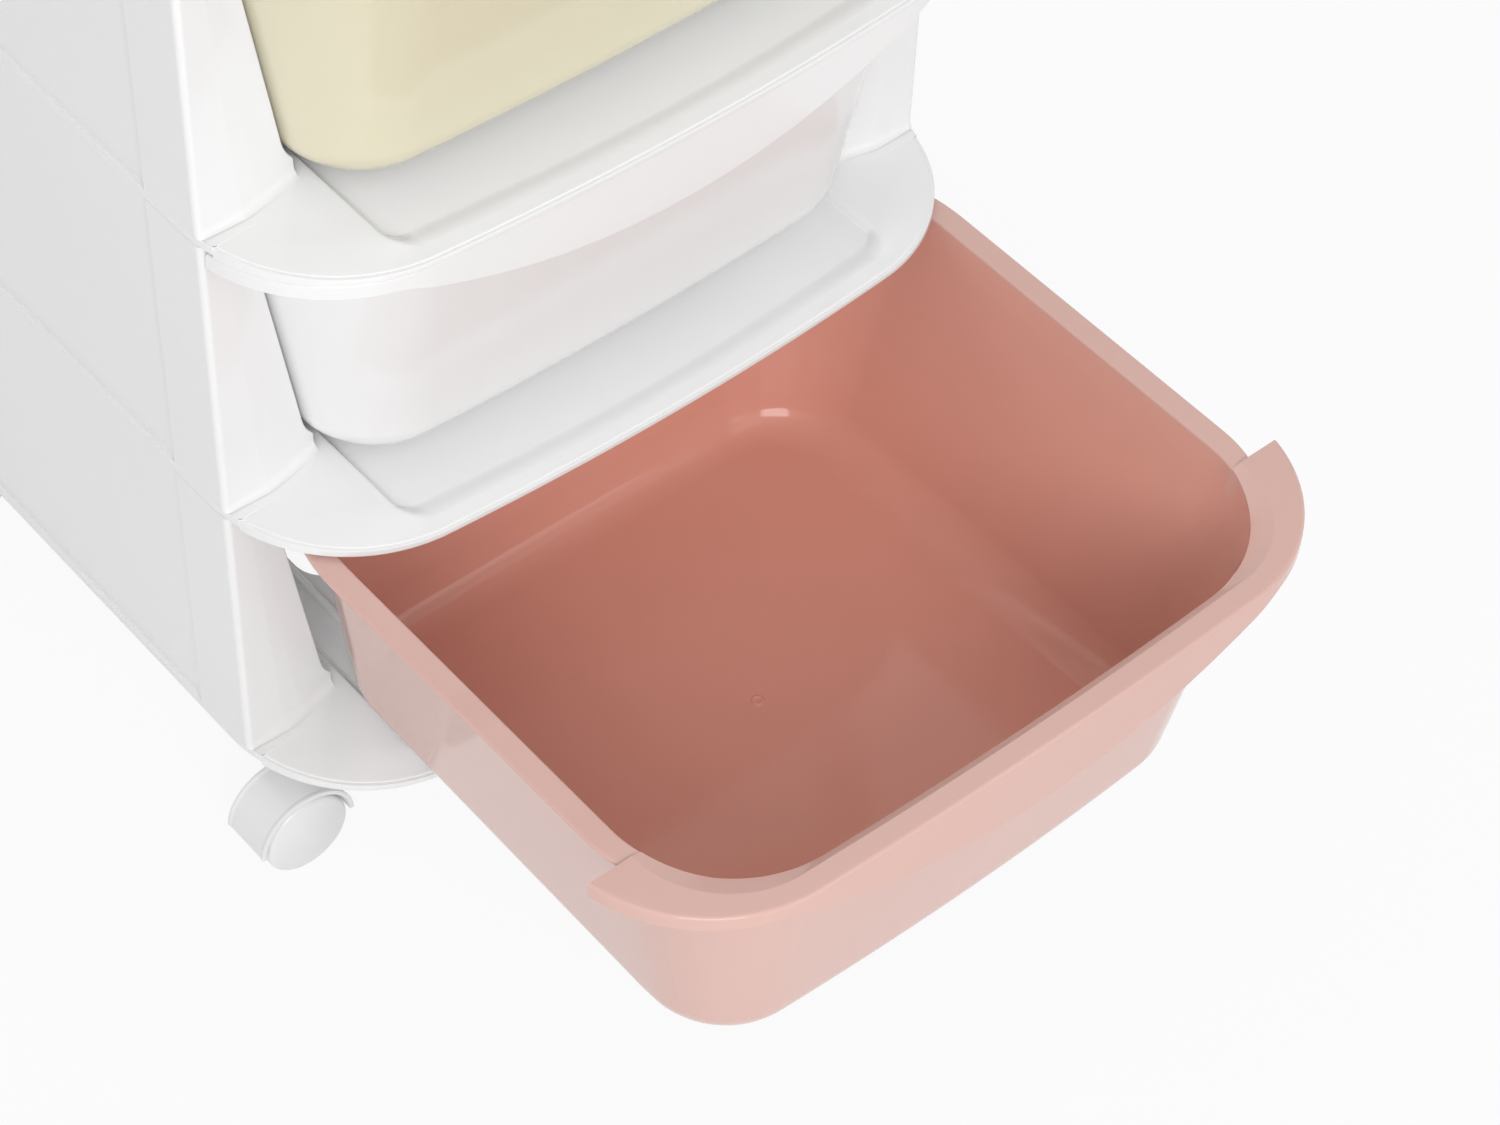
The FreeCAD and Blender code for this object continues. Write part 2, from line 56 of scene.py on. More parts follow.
# Shelves
shelf_reach = 69.5
shelf_bow = 10.5
bow_arc_share = 0.6
shelf_corner = 79.0
shelf_back_corner = 6.0
shelf_skin = 2.5
shelf_edge_height = 7.0
shelf_skirt_height = 5.0
crown_drop = 3.4
crown_width = 45.0
crown_bend = 1.3
crown_turn = 1.2
lip_width = 1.8
lip_drop = 0.7
lip_setback = 6.0
pan_half_width = half_width - 60.5
pan_front = shelf_reach - 11.0
pan_back = frame_depth - 9.0
pan_depth = 4.2
pan_skin = 2.0
pan_slope = 3.0
pan_front_slope = 8.0
pan_corner = 14.0
pan_ease = (0.6, 3.0)
window_half_width = pan_half_width - 25.5
window_front = 65.0
window_back = frame_depth - 44.0
window_corner = 18.0
runner_width = 3.0
runner_front = 4.0
runner_gap = 3.0
rib_thickness = 1.8
rib_height = 3.6
rib_count = 4
rib_first = 73.0
rib_last = frame_depth - 73.0

# Side panels
panel_wall = 2.5
column_depth = 38.5
column_lean = 9.5
column_bend = 1.57
column_edge = 3.0
column_fillet = 4.0
column_foot_width = 54.5
column_return = 13.0
panel_setback = 2.0
rear_post_depth = 34.0
rear_post_width = 24.0
rail_thickness = 2.4
rail_grip = 6.0
gusset_height = 15.0
gusset_count = 4
foot_width = 12.0

# Drawers
drawer_wall = 2.2
drawer_bottom = 0.3
drawer_top = tier_pitch - shelf_edge_height - 1.0
side_gap = 1.2
wing_gap = 0.8
wing_half_width = half_width - 0.5
wing_corner = 78.0
wing_drop = 8.0
flange_front = shelf_reach - 4.5
flange_bow = 5.0
flange_skin = 2.4
flange_edge = 1.6
apron_depth = 38.0
apron_arc = 345.0
apron_flare = 1.0
apron_blend = 3.0
rim_half_width = half_width - 16.0
rim_width = 11.8
rim_step = 1.2
rim_skin = 2.4
rim_edge = 1.1
rim_under_edge = 0.6
rim_top = drawer_top - rim_step
rim_front = flange_front - 15.0
rim_back = frame_depth - 6.5
mouth_chamfer = 4.5
mouth_side_chamfer = 2.8
mouth_corner = 50.0
mouth_drop = 3.0
mouth_ease_stations = 14
tub_half_width = rim_half_width - rim_width + drawer_wall
tub_front = rim_front + drawer_wall
tub_back = rim_back - rim_half_width + tub_half_width
tub_bow = 4.5
tub_front_corner = (41.0, 66.0)
tub_back_corner = (47.0, 94.0)
tub_draft = {"side": 0.175, "front": 0.16, "back": 0.127}
back_narrowing = 2.0
tub_floor_radius = 25.0
gate_place = (3.0, 121.5)
gate_radius = 3.6
gate_height = 0.7
# Painted shade inside the drawers: their inner faces get a deeper tone, strongest at the floor and fading
# up the walls.
painted_shade_mark = "inside"
painted_shade_fade = 0.3
inner_bounce_loss = 0.35
drawer_gloss = 0.35

# Casters
wheel_radius = 22.5
hood_gap = 1.6
hood_skin = 2.0
hood_lower_angle = 2.0
hood_bead = 0.5
hood_bead_width = 2.0
web_thickness = 5.0
wheel_width = 11.5
wheel_dome = 3.0
wheel_edge = 2.5
wheel_side_gap = 0.4
wheel_hub_radius = 6.0
wheel_recess = 2.0
wheel_bore = 2.6
caster_trail = 17.0
boss_radius = 6.5
stem_radius = 3.5
socket_radius = 10.0
socket_height = 16.5
socket_fin = 5.0
socket_fin_count = 4

# Mesh fineness
rear_count = 60
front_count = 90
arc_steps = 24
turned_steps = 40
gate_steps = 32
hood_steps = 48
wheel_steps = 72
station_length = 60.0
station_turn = 0.12
smooth_angle = math.radians(32)
flat_angle = math.radians(1)
eased_angle = math.radians(40)


# Outlines


def rotated(vector, angle):
    c = math.cos(angle)
    s = math.sin(angle)
    return Vector((vector.x * c - vector.y * s, vector.x * s + vector.y * c))


def rounded_path(corners, steps):
    """Closed path through (x, y, radius) corners, each corner an arc of the same number of steps."""
    path = []
    count = len(corners)
    for i, (x, y, radius) in enumerate(corners):
        p = Vector((x, y))
        a = (Vector(corners[i - 1][:2]) - p).normalized()
        b = (Vector(corners[(i + 1) % count][:2]) - p).normalized()
        half = a.angle(b) / 2
        centre = p + (a + b).normalized() * (radius / math.sin(half))
        start = p + a * (radius / math.tan(half)) - centre
        turn = (math.pi - 2 * half) * (1 if a.cross(b) < 0 else -1)
        for k in range(steps + 1):
            path.append(centre + rotated(start, turn * k / steps))
    return path


def stations(path, count):
    """Points spread along a path, closer together where it turns."""
    turns = [0.0]
    for i in range(1, len(path) - 1):
        a = path[i] - path[i - 1]
        b = path[i + 1] - path[i]
        turns.append(a.angle(b, 0.0))
    turns.append(0.0)
    marks = [0.0]
    for i in range(len(path) - 1):
        length = (path[i + 1] - path[i]).length
        marks.append(marks[-1] + length / station_length + (turns[i] + turns[i + 1]) / 2 / station_turn)
    points = []
    i = 0
    for k in range(count):
        mark = marks[-1] * k / (count - 1)
        while i < len(path) - 2 and marks[i + 1] < mark:
            i += 1
        share = (mark - marks[i]) / max(marks[i + 1] - marks[i], 1e-9)
        points.append(path[i].lerp(path[i + 1], min(share, 1.0)))
    return points


def bowed_corners(half, front, bow, corner, back, back_corner, back_half=None):
    """Corners of a plan with a straight back and a bowed front, from the rear left round the front."""
    rear = half if back_half is None else back_half
    lead = bow * bow_arc_share / (2 - bow_arc_share)
    slope = math.atan2(bow + lead, half)
    radius = bow_arc_share * half / math.cos(slope) / math.tan(slope)
    return [
        (-rear, back, back_corner),
        (-half, bow - front, corner),
        (0.0, -front - lead, radius),
        (half, bow - front, corner),
        (rear, back, back_corner),
    ]


def ring(corners, split):
    """Stations of an outline in three stretches: left, front and right, parted at y = split."""
    middle = Vector((0.0, corners[0][1]))
    path = [middle] + rounded_path(corners, arc_steps) + [middle]
    spans = range(len(path) - 1)
    first = next(i for i in spans if path[i].y > split >= path[i + 1].y)
    last = next(i for i in spans if i > first and path[i].y <= split < path[i + 1].y)
    gates = []
    for i in (first, last):
        share = (split - path[i].y) / (path[i + 1].y - path[i].y)
        gates.append(path[i].lerp(path[i + 1], share))
    left = stations(path[:first + 1] + [gates[0]], rear_count)
    front = stations([gates[0]] + path[first + 1:last + 1] + [gates[1]], front_count)
    right = stations([gates[1]] + path[last + 1:], rear_count)
    return left + front + right


def in_front(i):
    return rear_count <= i < rear_count + front_count


def mixed(ring_a, ring_b, share):
    """Ring between two rings; share is one number or one for each station."""
    shares = share if isinstance(share, list) else [share] * len(ring_a)
    return [a.lerp(b, s) for a, b, s in zip(ring_a, ring_b, shares)]


def level(front, front_z, rear=None, rear_z=None):
    """Ring of places that takes its front stretch and its rear stretches from two outlines."""
    rear = front if rear is None else rear
    rear_z = front_z if rear_z is None else rear_z
    places = []
    for i in range(len(front)):
        p = front[i] if in_front(i) else rear[i]
        z = front_z if in_front(i) else rear_z
        places.append(Vector((p.x, p.y, z[i] if isinstance(z, list) else z)))
    return places


# Meshes


def skin(rings, closed=False, caps=False):
    """Faces between rings of equal length; closed joins the last ring to the first."""
    count = len(rings[0])
    verts = [p for places in rings for p in places]
    faces = []
    spans = len(rings) if closed else len(rings) - 1
    for r in range(spans):
        a = r * count
        b = (r + 1) % len(rings) * count
        for i in range(count - 1):
            faces.append((a + i, a + i + 1, b + i + 1, b + i))
    if caps:
        faces.append(tuple(range(count - 1)))
        faces.append(tuple(range((len(rings) - 1) * count, len(rings) * count - 1)))
    return verts, faces


def joined(*drafts):
    verts = []
    faces = []
    for draft_verts, draft_faces in drafts:
        start = len(verts)
        verts.extend(draft_verts)
        faces.extend(tuple(start + i for i in face) for face in draft_faces)
    return verts, faces


def mapped(draft, change):
    return [change(v) for v in draft[0]], draft[1]


def flipped(draft):
    """Mirror image across the middle of the unit."""
    return mapped(draft, lambda v: Vector((-v.x, v.y, v.z)))


def soft_box(low, high, edge):
    """Box with rounded upright corners and eased upper and lower edges."""
    corners = [(low[0], low[1]), (high[0], low[1]), (high[0], high[1]), (low[0], high[1])]
    rings = []
    for inset, z in ((edge, low[2]), (0.0, low[2] + edge), (0.0, high[2] - edge), (edge, high[2])):
        middle = Vector(((low[0] + high[0]) / 2, (low[1] + high[1]) / 2))
        drawn = []
        for x, y in corners:
            in_x = math.copysign(inset, middle.x - x)
            in_y = math.copysign(inset, middle.y - y)
            drawn.append((x + in_x, y + in_y, edge))
        path = rounded_path(drawn, 3)
        rings.append([Vector((p.x, p.y, z)) for p in path + path[:1]])
    return skin(rings, caps=True)


def lathe(profile, steps, sweep=2 * math.pi, start=0.0):
    """Surface turned about the Y axis from (radius, y) points."""
    rings = []
    for k in range(steps + 1):
        angle = start + sweep * k / steps
        rings.append([Vector((r * math.cos(angle), y, r * math.sin(angle))) for r, y in profile])
    return skin(rings)


def mesh_of(name, draft, place=(0.0, 0.0, 0.0)):
    """Clean mesh in metres from a draft in millimetres."""
    mesh = bpy.data.meshes.new(name)
    offset = Vector(place)
    mesh.from_pydata([(v + offset) * MM for v in draft[0]], [], draft[1])
    bm = bmesh.new()
    bm.from_mesh(mesh)
    bmesh.ops.remove_doubles(bm, verts=bm.verts, dist=2e-6)
    bmesh.ops.dissolve_degenerate(bm, edges=bm.edges, dist=1e-6)
    bmesh.ops.recalc_face_normals(bm, faces=bm.faces)
    for face in bm.faces:
        face.smooth = True
    bm.to_mesh(mesh)
    bm.free()
    mesh.set_sharp_from_angle(angle=smooth_angle)
    return weighted(mesh)


def placed(name, data):
    """New object in the scene, at the origin."""
    thing = bpy.data.objects.new(name, data)
    bpy.context.scene.collection.objects.link(thing)
    return thing


def settled_mesh(holder):
    """Plain mesh of an object as its modifiers leave it; the object itself is removed."""
    view = bpy.context.evaluated_depsgraph_get()
    mesh = bpy.data.meshes.new_from_object(holder.evaluated_get(view))
    holder.modifiers.clear()
    bpy.data.objects.remove(holder)
    return mesh


def weighted(mesh):
    """Mesh shaded by its larger faces, so that flats stay flat beside small radii."""
    name = mesh.name
    holder = placed(name, mesh)
    holder.modifiers.new("shading", "WEIGHTED_NORMAL").keep_sharp = True
    result = settled_mesh(holder)
    bpy.data.meshes.remove(mesh)
    result.name = name
    return result


def add_piece(name, mesh, material, slot, body, *nodes):
    """Object of a finished mesh, riding on its body in place of its CAD nodes."""
    piece = placed(name, mesh)
    mesh.materials.clear()
    mesh.materials.append(material)
    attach(piece, body)
    if nodes:
        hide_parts(*nodes)


def tier_place(tier):
    return (0.0, front_y, floors[tier])


# Drawers


def tub_corners(inset, low):
    depth = drawer_top - drawer_bottom if low else 0.0
    half = tub_half_width - inset - tub_draft["side"] * depth
    front = tub_front - inset - tub_draft["front"] * depth
    back = tub_back - inset - tub_draft["back"] * depth
    pick = 0 if low else 1
    narrow = back_narrowing if low else 0.0
    corner = tub_front_corner[pick] - inset
    back_corner = tub_back_corner[pick] - inset
    return bowed_corners(half, front, tub_bow, corner, back, back_corner, half - narrow)


def tub_ring(inset, z):
    """Ring of the tub wall at height z, drawn in by inset."""
    share = (z - drawer_bottom) / (drawer_top - drawer_bottom)
    foot = ring(tub_corners(inset, True), -wing_gap)
    head = ring(tub_corners(inset, False), -wing_gap)
    return mixed(foot, head, share)


def tub_level(inset, z):
    return level(tub_ring(inset, z), z)


def floor_levels(inset, floor, radius, steps=10):
    """Levels of the rounding between a tub's floor and its sloping wall, from the floor up."""
    draft = tub_draft["side"]
    reach = radius * (math.sqrt(1 + draft ** 2) - draft)
    end = math.atan2(1.0, draft)
    levels = []
    for share in (0.15, 0.6):
        flat = tub_level(inset + reach, floor)
        centre = Vector((0.0, (tub_back - tub_front) / 2, floor))
        levels.append([centre.lerp(p, share) for p in flat])
    for k in range(steps + 1):
        angle = end * k / steps
        height = radius * (1 - math.cos(angle))
        drawn = draft * height + reach - radius * math.sin(angle)
        levels.append(tub_level(inset + drawn, floor + height))
    return levels


def front_ring(half, front, bow, corner):
    return ring(bowed_corners(half, front, bow, corner, rim_back, wing_corner), -wing_gap)


def flange_ring(grow):
    return front_ring(wing_half_width + grow, flange_front + grow, flange_bow, wing_corner + grow)


def mouth_ring(share):
    inner = tub_front_corner[1] - drawer_wall
    half = tub_half_width - drawer_wall + mouth_side_chamfer * share
    corner = inner + (mouth_corner - inner) * share
    return front_ring(half, rim_front + mouth_chamfer * share, tub_bow, corner)


def rim_ring(inset):
    corner = tub_back_corner[1] + rim_half_width - tub_half_width - inset
    half = rim_half_width - inset
    corners = bowed_corners(half, rim_front, tub_bow, tub_front_corner[1], rim_back - inset, corner)
    return ring(corners, -wing_gap)


def apron_drops():
    """Depth of the handle apron at each station: a smiling arc that runs out into the wings."""
    drops = []
    for p in flange_ring(0.0):
        x = min(abs(p.x), apron_arc)
        arc = apron_depth - apron_arc + math.sqrt(apron_arc ** 2 - x ** 2)
        apart = max(apron_blend - abs(arc - wing_drop), 0.0)
        drops.append(max(arc, wing_drop) + apart ** 2 / (4 * apron_blend))
    return drops


def apron_level(share, inset, drops, lift, rear, rear_z):
    """Level on the flaring apron, at a share of its depth and raised by lift."""
    falls = [drop * share - lift for drop in drops]
    shares = [fall / apron_depth for fall in falls]
    points = mixed(flange_ring(-inset), flange_ring(apron_flare - inset), shares)
    return level(points, [drawer_top - fall for fall in falls], rear, rear_z)


def mouth_falls():
    """Depth of the mouth's chamfer at each station: as deep as the rim's step where it meets the rim."""
    falls = []
    for i in range(2 * rear_count + front_count):
        inward = min(i - rear_count, rear_count + front_count - 1 - i) / mouth_ease_stations
        falls.append(rim_step + (mouth_drop - rim_step) * min(max(inward, 0.0), 1.0))
    return falls


def rim_levels():
    """Levels over the rim: mouth chamfer, flange and apron in front, plain rim at the sides and back."""
    levels = []
    low = drawer_top - flange_skin
    inner_rim = tub_ring(drawer_wall, rim_top)
    outer_rim = rim_ring(0.0)
    drops = apron_drops()
    falls = mouth_falls()
    mouth = ((0.0, -2.0), (0.0, -1.3), (0.02, -1.0), (0.08, -0.88), (0.5, -0.46), (0.9, -0.06), (0.97, 0.0))
    inner = ((0.0, -2.0), (0.0, -1.3), (0.01, -0.7), (0.04, -0.25), (0.08, -0.05), (0.12, 0.0), (0.3, 0.0))
    for (share, rise), (rim_share, rim_rise) in zip(mouth, inner):
        rear = mixed(inner_rim, outer_rim, rim_share)
        heights = [drawer_top + fall * rise for fall in falls]
        levels.append(level(mouth_ring(share), heights, rear, rim_top + rim_rise))
    crease = mouth_ring(1.0)
    flat_end = flange_ring(-flange_edge)
    rim_flat = rim_ring(rim_edge)
    for share in (0.0, 0.05, 0.5, 0.95):
        rear = mixed(mixed(inner_rim, outer_rim, 0.4), rim_flat, share)
        levels.append(level(mixed(crease, flat_end, share), drawer_top, rear, rim_top))
    for k in range(7):
        angle = math.pi / 2 * k / 6
        out = flange_edge * (math.sin(angle) - 1)
        fall = flange_edge * (1 - math.cos(angle))
        rim_out = rim_edge * (1 - math.sin(angle))
        rim_fall = rim_edge * (1 - math.cos(angle))
        spread = apron_flare * fall / apron_depth
        front = flange_ring(out + spread)
        levels.append(level(front, drawer_top - fall, rim_ring(rim_out), rim_top - rim_fall))
    side_z = rim_top - rim_edge
    for k, share in enumerate((0.45, 0.75, 0.95)):
        levels.append(apron_level(share, 0.0, drops, 0.0, outer_rim, side_z - 0.15 * (k + 1)))
    under = rim_top - rim_skin
    half = drawer_wall / 2
    for k in range(1, 6):
        angle = math.pi * k / 6
        inset = half * (1 - math.cos(angle))
        lift = half * (1 - math.sin(angle))
        rim_inset = rim_under_edge * k / 5
        rear_z = under + rim_under_edge * (1 - k / 5)
        levels.append(apron_level(1.0, inset, drops, lift, rim_ring(rim_inset), rear_z))
    for share, rim_inset in ((0.8, 2.0), (0.5, 3.0)):
        levels.append(apron_level(share, drawer_wall, drops, 0.0, rim_ring(rim_inset), under))
    wall = tub_ring(0.0, low)
    fold = flange_ring(-drawer_wall)
    for share, fall in ((0.0, 2.5), (0.06, 0.8), (0.2, 0.0), (0.85, 0.0), (0.97, 0.5), (1.0, 1.5)):
        rim_share = 0.3 + 0.7 * share
        rear = mixed(outer_rim, tub_ring(0.0, under), rim_share)
        rear_z = under - max(fall - 0.5, 0.0) * share
        levels.append(level(mixed(fold, wall, share), low - fall, rear, rear_z))
    return levels


def drawer_draft():
    inside = floor_levels(drawer_wall, drawer_bottom + drawer_wall, tub_floor_radius - drawer_wall)
    inside += [tub_level(drawer_wall, z) for z in (60.0, 100.0, 140.0)]
    outside = floor_levels(0.0, drawer_bottom, tub_floor_radius)
    outside += [tub_level(0.0, z) for z in (60.0, 100.0, 140.0, 148.0)]
    return skin(inside + rim_levels() + outside[::-1], caps=True)


def gate_draft():
    """Small moulding mark on the floor of a drawer."""
    profile = [(0.0, 0.25), (0.35, 0.3), (0.5, 0.9), (0.66, 1.0), (0.82, 0.75), (0.93, 0.2), (1.0, -0.2)]
    turned = lathe([(r * gate_radius, h * gate_height) for r, h in profile], gate_steps)
    floor = drawer_bottom + drawer_wall
    x, y = gate_place
    return mapped(turned, lambda v: Vector((x + v.x, y + v.z, floor + v.y)))


def mark_painted_shade(mesh, place):
    """Mask of the painted shade on the inner faces of a drawer: about 1 at its floor, less up its walls, 0
    elsewhere.
    """
    mark = mesh.attributes.new(painted_shade_mark, "FLOAT", "POINT")
    middle = Vector((0.0, (tub_back - tub_front) / 2, drawer_top))
    for vertex in mesh.vertices:
        spot = vertex.co / MM - Vector(place)
        within = abs(spot.x) < tub_half_width and spot.y > -tub_front
        inward = vertex.normal.dot(middle - spot) > 0
        deep = min(max((rim_top - rim_edge - spot.z) / rim_edge, 0.0), 1.0)
        high = min(max(spot.z / rim_top, 0.0), 1.0)
        mark.data[vertex.index].value = deep * (1 - painted_shade_fade * high) if within and inward else 0.0


def build_drawers(materials):
    shape = joined(drawer_draft(), gate_draft())
    slots = {1: "drawer_pink", 2: "drawer_white", 3: "drawer_cream"}
    for tier in TIERS:
        node = "drawer_%d" % tier
        place = (0.0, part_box(node)[1].y / MM - rim_back, floors[tier])
        mesh = mesh_of(node, shape, place)
        # Mask of the painted shade on the drawer's inner faces.
        mark_painted_shade(mesh, place)
        add_piece("tub_%d" % tier, mesh, materials[slots[tier]], slots[tier], node, node)


# Shelves


def shelf_ring(inset):
    return ring(bowed_corners(
        half_width - inset, shelf_reach - inset, shelf_bow, shelf_corner - inset,
        frame_depth - inset, shelf_back_corner), -lip_setback)


def pan_ring(grow):
    corner = pan_corner + grow
    bow = shelf_bow * pan_half_width / half_width
    return ring(bowed_corners(
        pan_half_width + grow, pan_front + grow, bow, corner, pan_back + grow, corner), -lip_setback)


def window_ring(grow):
    """Edge of the floor window, with as many stations as the shelf rings."""
    half = window_half_width + grow
    corners = [
        (-half, window_back + grow, window_corner),
        (-half, window_front - grow, window_corner),
        (half, window_front - grow, window_corner),
        (half, window_back + grow, window_corner),
    ]
    middle = Vector((0.0, window_back + grow))
    path = [middle] + rounded_path(corners, arc_steps) + [middle]
    half_turn = (len(path) - 1) // 4
    left = stations(path[:half_turn + 1], rear_count)
    front = stations(path[half_turn:-half_turn], front_count)
    right = stations(path[-half_turn - 1:], rear_count)
    return left + front + right


def front_shares(points):
    """How far each station faces the front: not at all at the sides, fully along the front."""
    shares = []
    for i, p in enumerate(points):
        along = (points[min(i + 2, len(points) - 1)] - points[max(i - 2, 0)]).normalized()
        shares.append(abs(along.x) ** crown_turn if p.y < column_depth else 0.0)
    return shares


def crown_fall(points, edge, shares):
    """Height of the ears' crown at each station, by its distance from the lip."""
    falls = []
    for point, rim, share in zip(points, edge, shares):
        near = max(0.0, 1 - (point - rim).length / crown_width)
        falls.append(-crown_drop * share * near ** crown_bend)
    return falls


def plus(values, step):
    return [v + step for v in values]


def top_levels(shares):
    """Levels up the pan's wall, steep at the sides and eased in front, then over the ears to the edge."""
    edge = shelf_ring(lip_width)
    ahead = front_shares(pan_ring(0.0))
    foot = mixed(pan_ring(-pan_slope), pan_ring(-pan_front_slope), ahead)
    head = mixed(pan_ring(pan_ease[0]), pan_ring(pan_ease[1]), ahead)
    levels = []
    for k in range(11):
        share = k / 10
        climb = share * share * (3 - 2 * share)
        points = mixed(foot, head, share)
        falls = crown_fall(points, edge, shares)
        levels.append(level(points, [fall * climb - pan_depth * (1 - climb) for fall in falls]))
    outer = shelf_ring(lip_width + 0.5)
    rear_outer = shelf_ring(0.7)
    for share in (0.04, 0.12, 0.25, 0.45, 0.6, 0.7, 0.8, 0.88, 0.95, 1.0):
        points = mixed(head, outer, share)
        rear = mixed(head, rear_outer, share) if share > 0.9 else points
        falls = crown_fall(points, edge, shares)
        levels.append(level(points, falls, rear, falls))
    return levels


def edge_levels(shares):
    """Levels down the front groove and lip, and down the plain skirt at the sides and back."""
    edge_z = [-crown_drop * s for s in shares]
    lip_z = plus(edge_z, -lip_drop)
    low = -shelf_edge_height
    skirt = -shelf_skirt_height
    rows = (
        (lip_width + 0.12, plus(edge_z, -0.15), 0.3, -0.1),
        (lip_width, plus(edge_z, -0.45), 0.08, -0.35),
        (lip_width - 0.1, plus(lip_z, 0.08), 0.0, -0.75),
        (lip_width - 0.3, plus(lip_z, 0.0), 0.0, -1.2),
        (0.55, plus(lip_z, 0.05), 0.0, -1.8),
        (0.2, plus(lip_z, -0.12), 0.0, -2.4),
        (0.0, plus(lip_z, -0.5), 0.0, -3.0),
        (0.0, low + 0.6, 0.0, skirt + 0.5),
        (0.18, low + 0.15, 0.12, skirt + 0.12),
        (0.6, low, 0.5, skirt),
        (lip_width + shelf_skin - 0.4, low, shelf_skin - 0.4, skirt),
        (lip_width + shelf_skin, low + 0.4, shelf_skin, skirt + 0.4),
        (lip_width + shelf_skin, plus(edge_z, -shelf_skin - 0.5), shelf_skin, -shelf_skin - 0.5),
        (lip_width + shelf_skin + 1.5, plus(edge_z, -shelf_skin + 0.1), shelf_skin + 0.6, -shelf_skin),
    )
    return [level(shelf_ring(a), az, shelf_ring(b), bz) for a, az, b, bz in rows]


def under_levels(shares):
    """Levels back under the skin to the underside of the pan."""
    edge = shelf_ring(lip_width)
    levels = []
    rim = pan_ring(shelf_skin + 1.0)
    outer = shelf_ring(lip_width + shelf_skin + 1.5)
    for share in (0.5, 1.0):
        points = mixed(outer, rim, share)
        levels.append(level(points, plus(crown_fall(points, edge, shares), -shelf_skin)))
    low = -pan_depth - pan_skin
    levels.append(level(pan_ring(shelf_skin - pan_slope), low + 0.6))
    levels.append(level(pan_ring(shelf_skin - pan_slope - 0.8), low))
    return levels


def shelf_draft(with_window):
    shares = front_shares(shelf_ring(lip_width))
    levels = top_levels(shares) + edge_levels(shares) + under_levels(shares)
    if with_window:
        rims = ((0.0, -pan_depth - pan_skin + 0.4), (0.0, -pan_depth - 0.4), (0.4, -pan_depth))
        hole = [level(window_ring(grow), z) for grow, z in rims]
        foot = [level(window_ring(0.4), -pan_depth - pan_skin)]
        return skin(hole + levels + foot, closed=True)
    return skin(levels, caps=True)


def runner_draft():
    """Raised strip with a sloping nose on the pan's floor, on the right."""
    x0 = window_half_width + runner_gap
    x1 = x0 + runner_width
    back = pan_back - pan_slope - runner_gap
    edge = 0.5
    rings = []
    for x, inset in ((x0, edge), (x0 + edge, 0.0), (x1 - edge, 0.0), (x1, edge)):
        outline = [
            (runner_front + inset, -pan_depth),
            (back - inset, -pan_depth),
            (back - inset, -inset),
            (runner_front + pan_depth + inset, -inset),
        ]
        rings.append([Vector((x, y, z)) for y, z in outline + outline[:1]])
    return skin(rings, caps=True)


def socket_draft(x, y):
    """Socket under the base for a caster stem."""
    low = -shelf_skin - socket_height
    bore = stem_radius + 0.05
    profile = [
        (bore, -shelf_skin - 2.0), (bore, low + 0.6), (bore + 0.6, low), (socket_radius - 0.8, low),
        (socket_radius - 0.2, low + 0.2), (socket_radius, low + 0.8), (socket_radius, -shelf_skin - 1.5),
        (socket_radius + 0.5, -shelf_skin - 0.5), (socket_radius + 1.5, -shelf_skin + 0.2),
    ]
    turned = lathe(profile, turned_steps)
    return mapped(turned, lambda v: Vector((x + v.x, y + v.z, v.y)))


def build_shelves(material):
    closed = shelf_draft(False)
    runner = runner_draft()
    runners = joined(runner, flipped(runner))
    opened = joined(shelf_draft(True), runners)
    for tier, node in shelf_nodes.items():
        draft = closed if tier == 4 else opened
        if tier == 1:
            draft = joined(draft, *[socket_draft(x, y) for x, y in caster_stems()])
        mesh = mesh_of(node, draft, tier_place(tier))
        add_piece("plate_%d" % tier, mesh, material, "frame_white", "frame", node)


# Side panels


def wall_x(z):
    return tub_half_width - tub_draft["side"] * (drawer_top - z)


def passage_x(z):
    """Inner edge of a column: it follows the drawer's wall and rounded floor at a steady gap."""
    low = drawer_bottom - side_gap
    radius = tub_floor_radius + side_gap
    draft = tub_draft["side"]
    centre = wall_x(low) + side_gap - radius * (math.sqrt(1 + draft ** 2) - draft)
    tangent = low + radius * (1 - math.cos(math.atan2(1.0, draft)))
    edge = wall_x(z) + side_gap
    if z < tangent:
        edge = centre + math.sqrt(radius ** 2 - (low + radius - z) ** 2)
    return max(edge, half_width - column_foot_width)


def column_front(x):
    """How far the column's rounded front lies back at x."""
    return column_lean * ((half_width - x) / (column_foot_width + 1.0)) ** column_bend


def foot_flare(z):
    """How far the column's front spreads forward into the shelf at height z."""
    rise = min(max(z, 0.0), column_fillet)
    return column_fillet - math.sqrt(column_fillet ** 2 - (column_fillet - rise) ** 2)


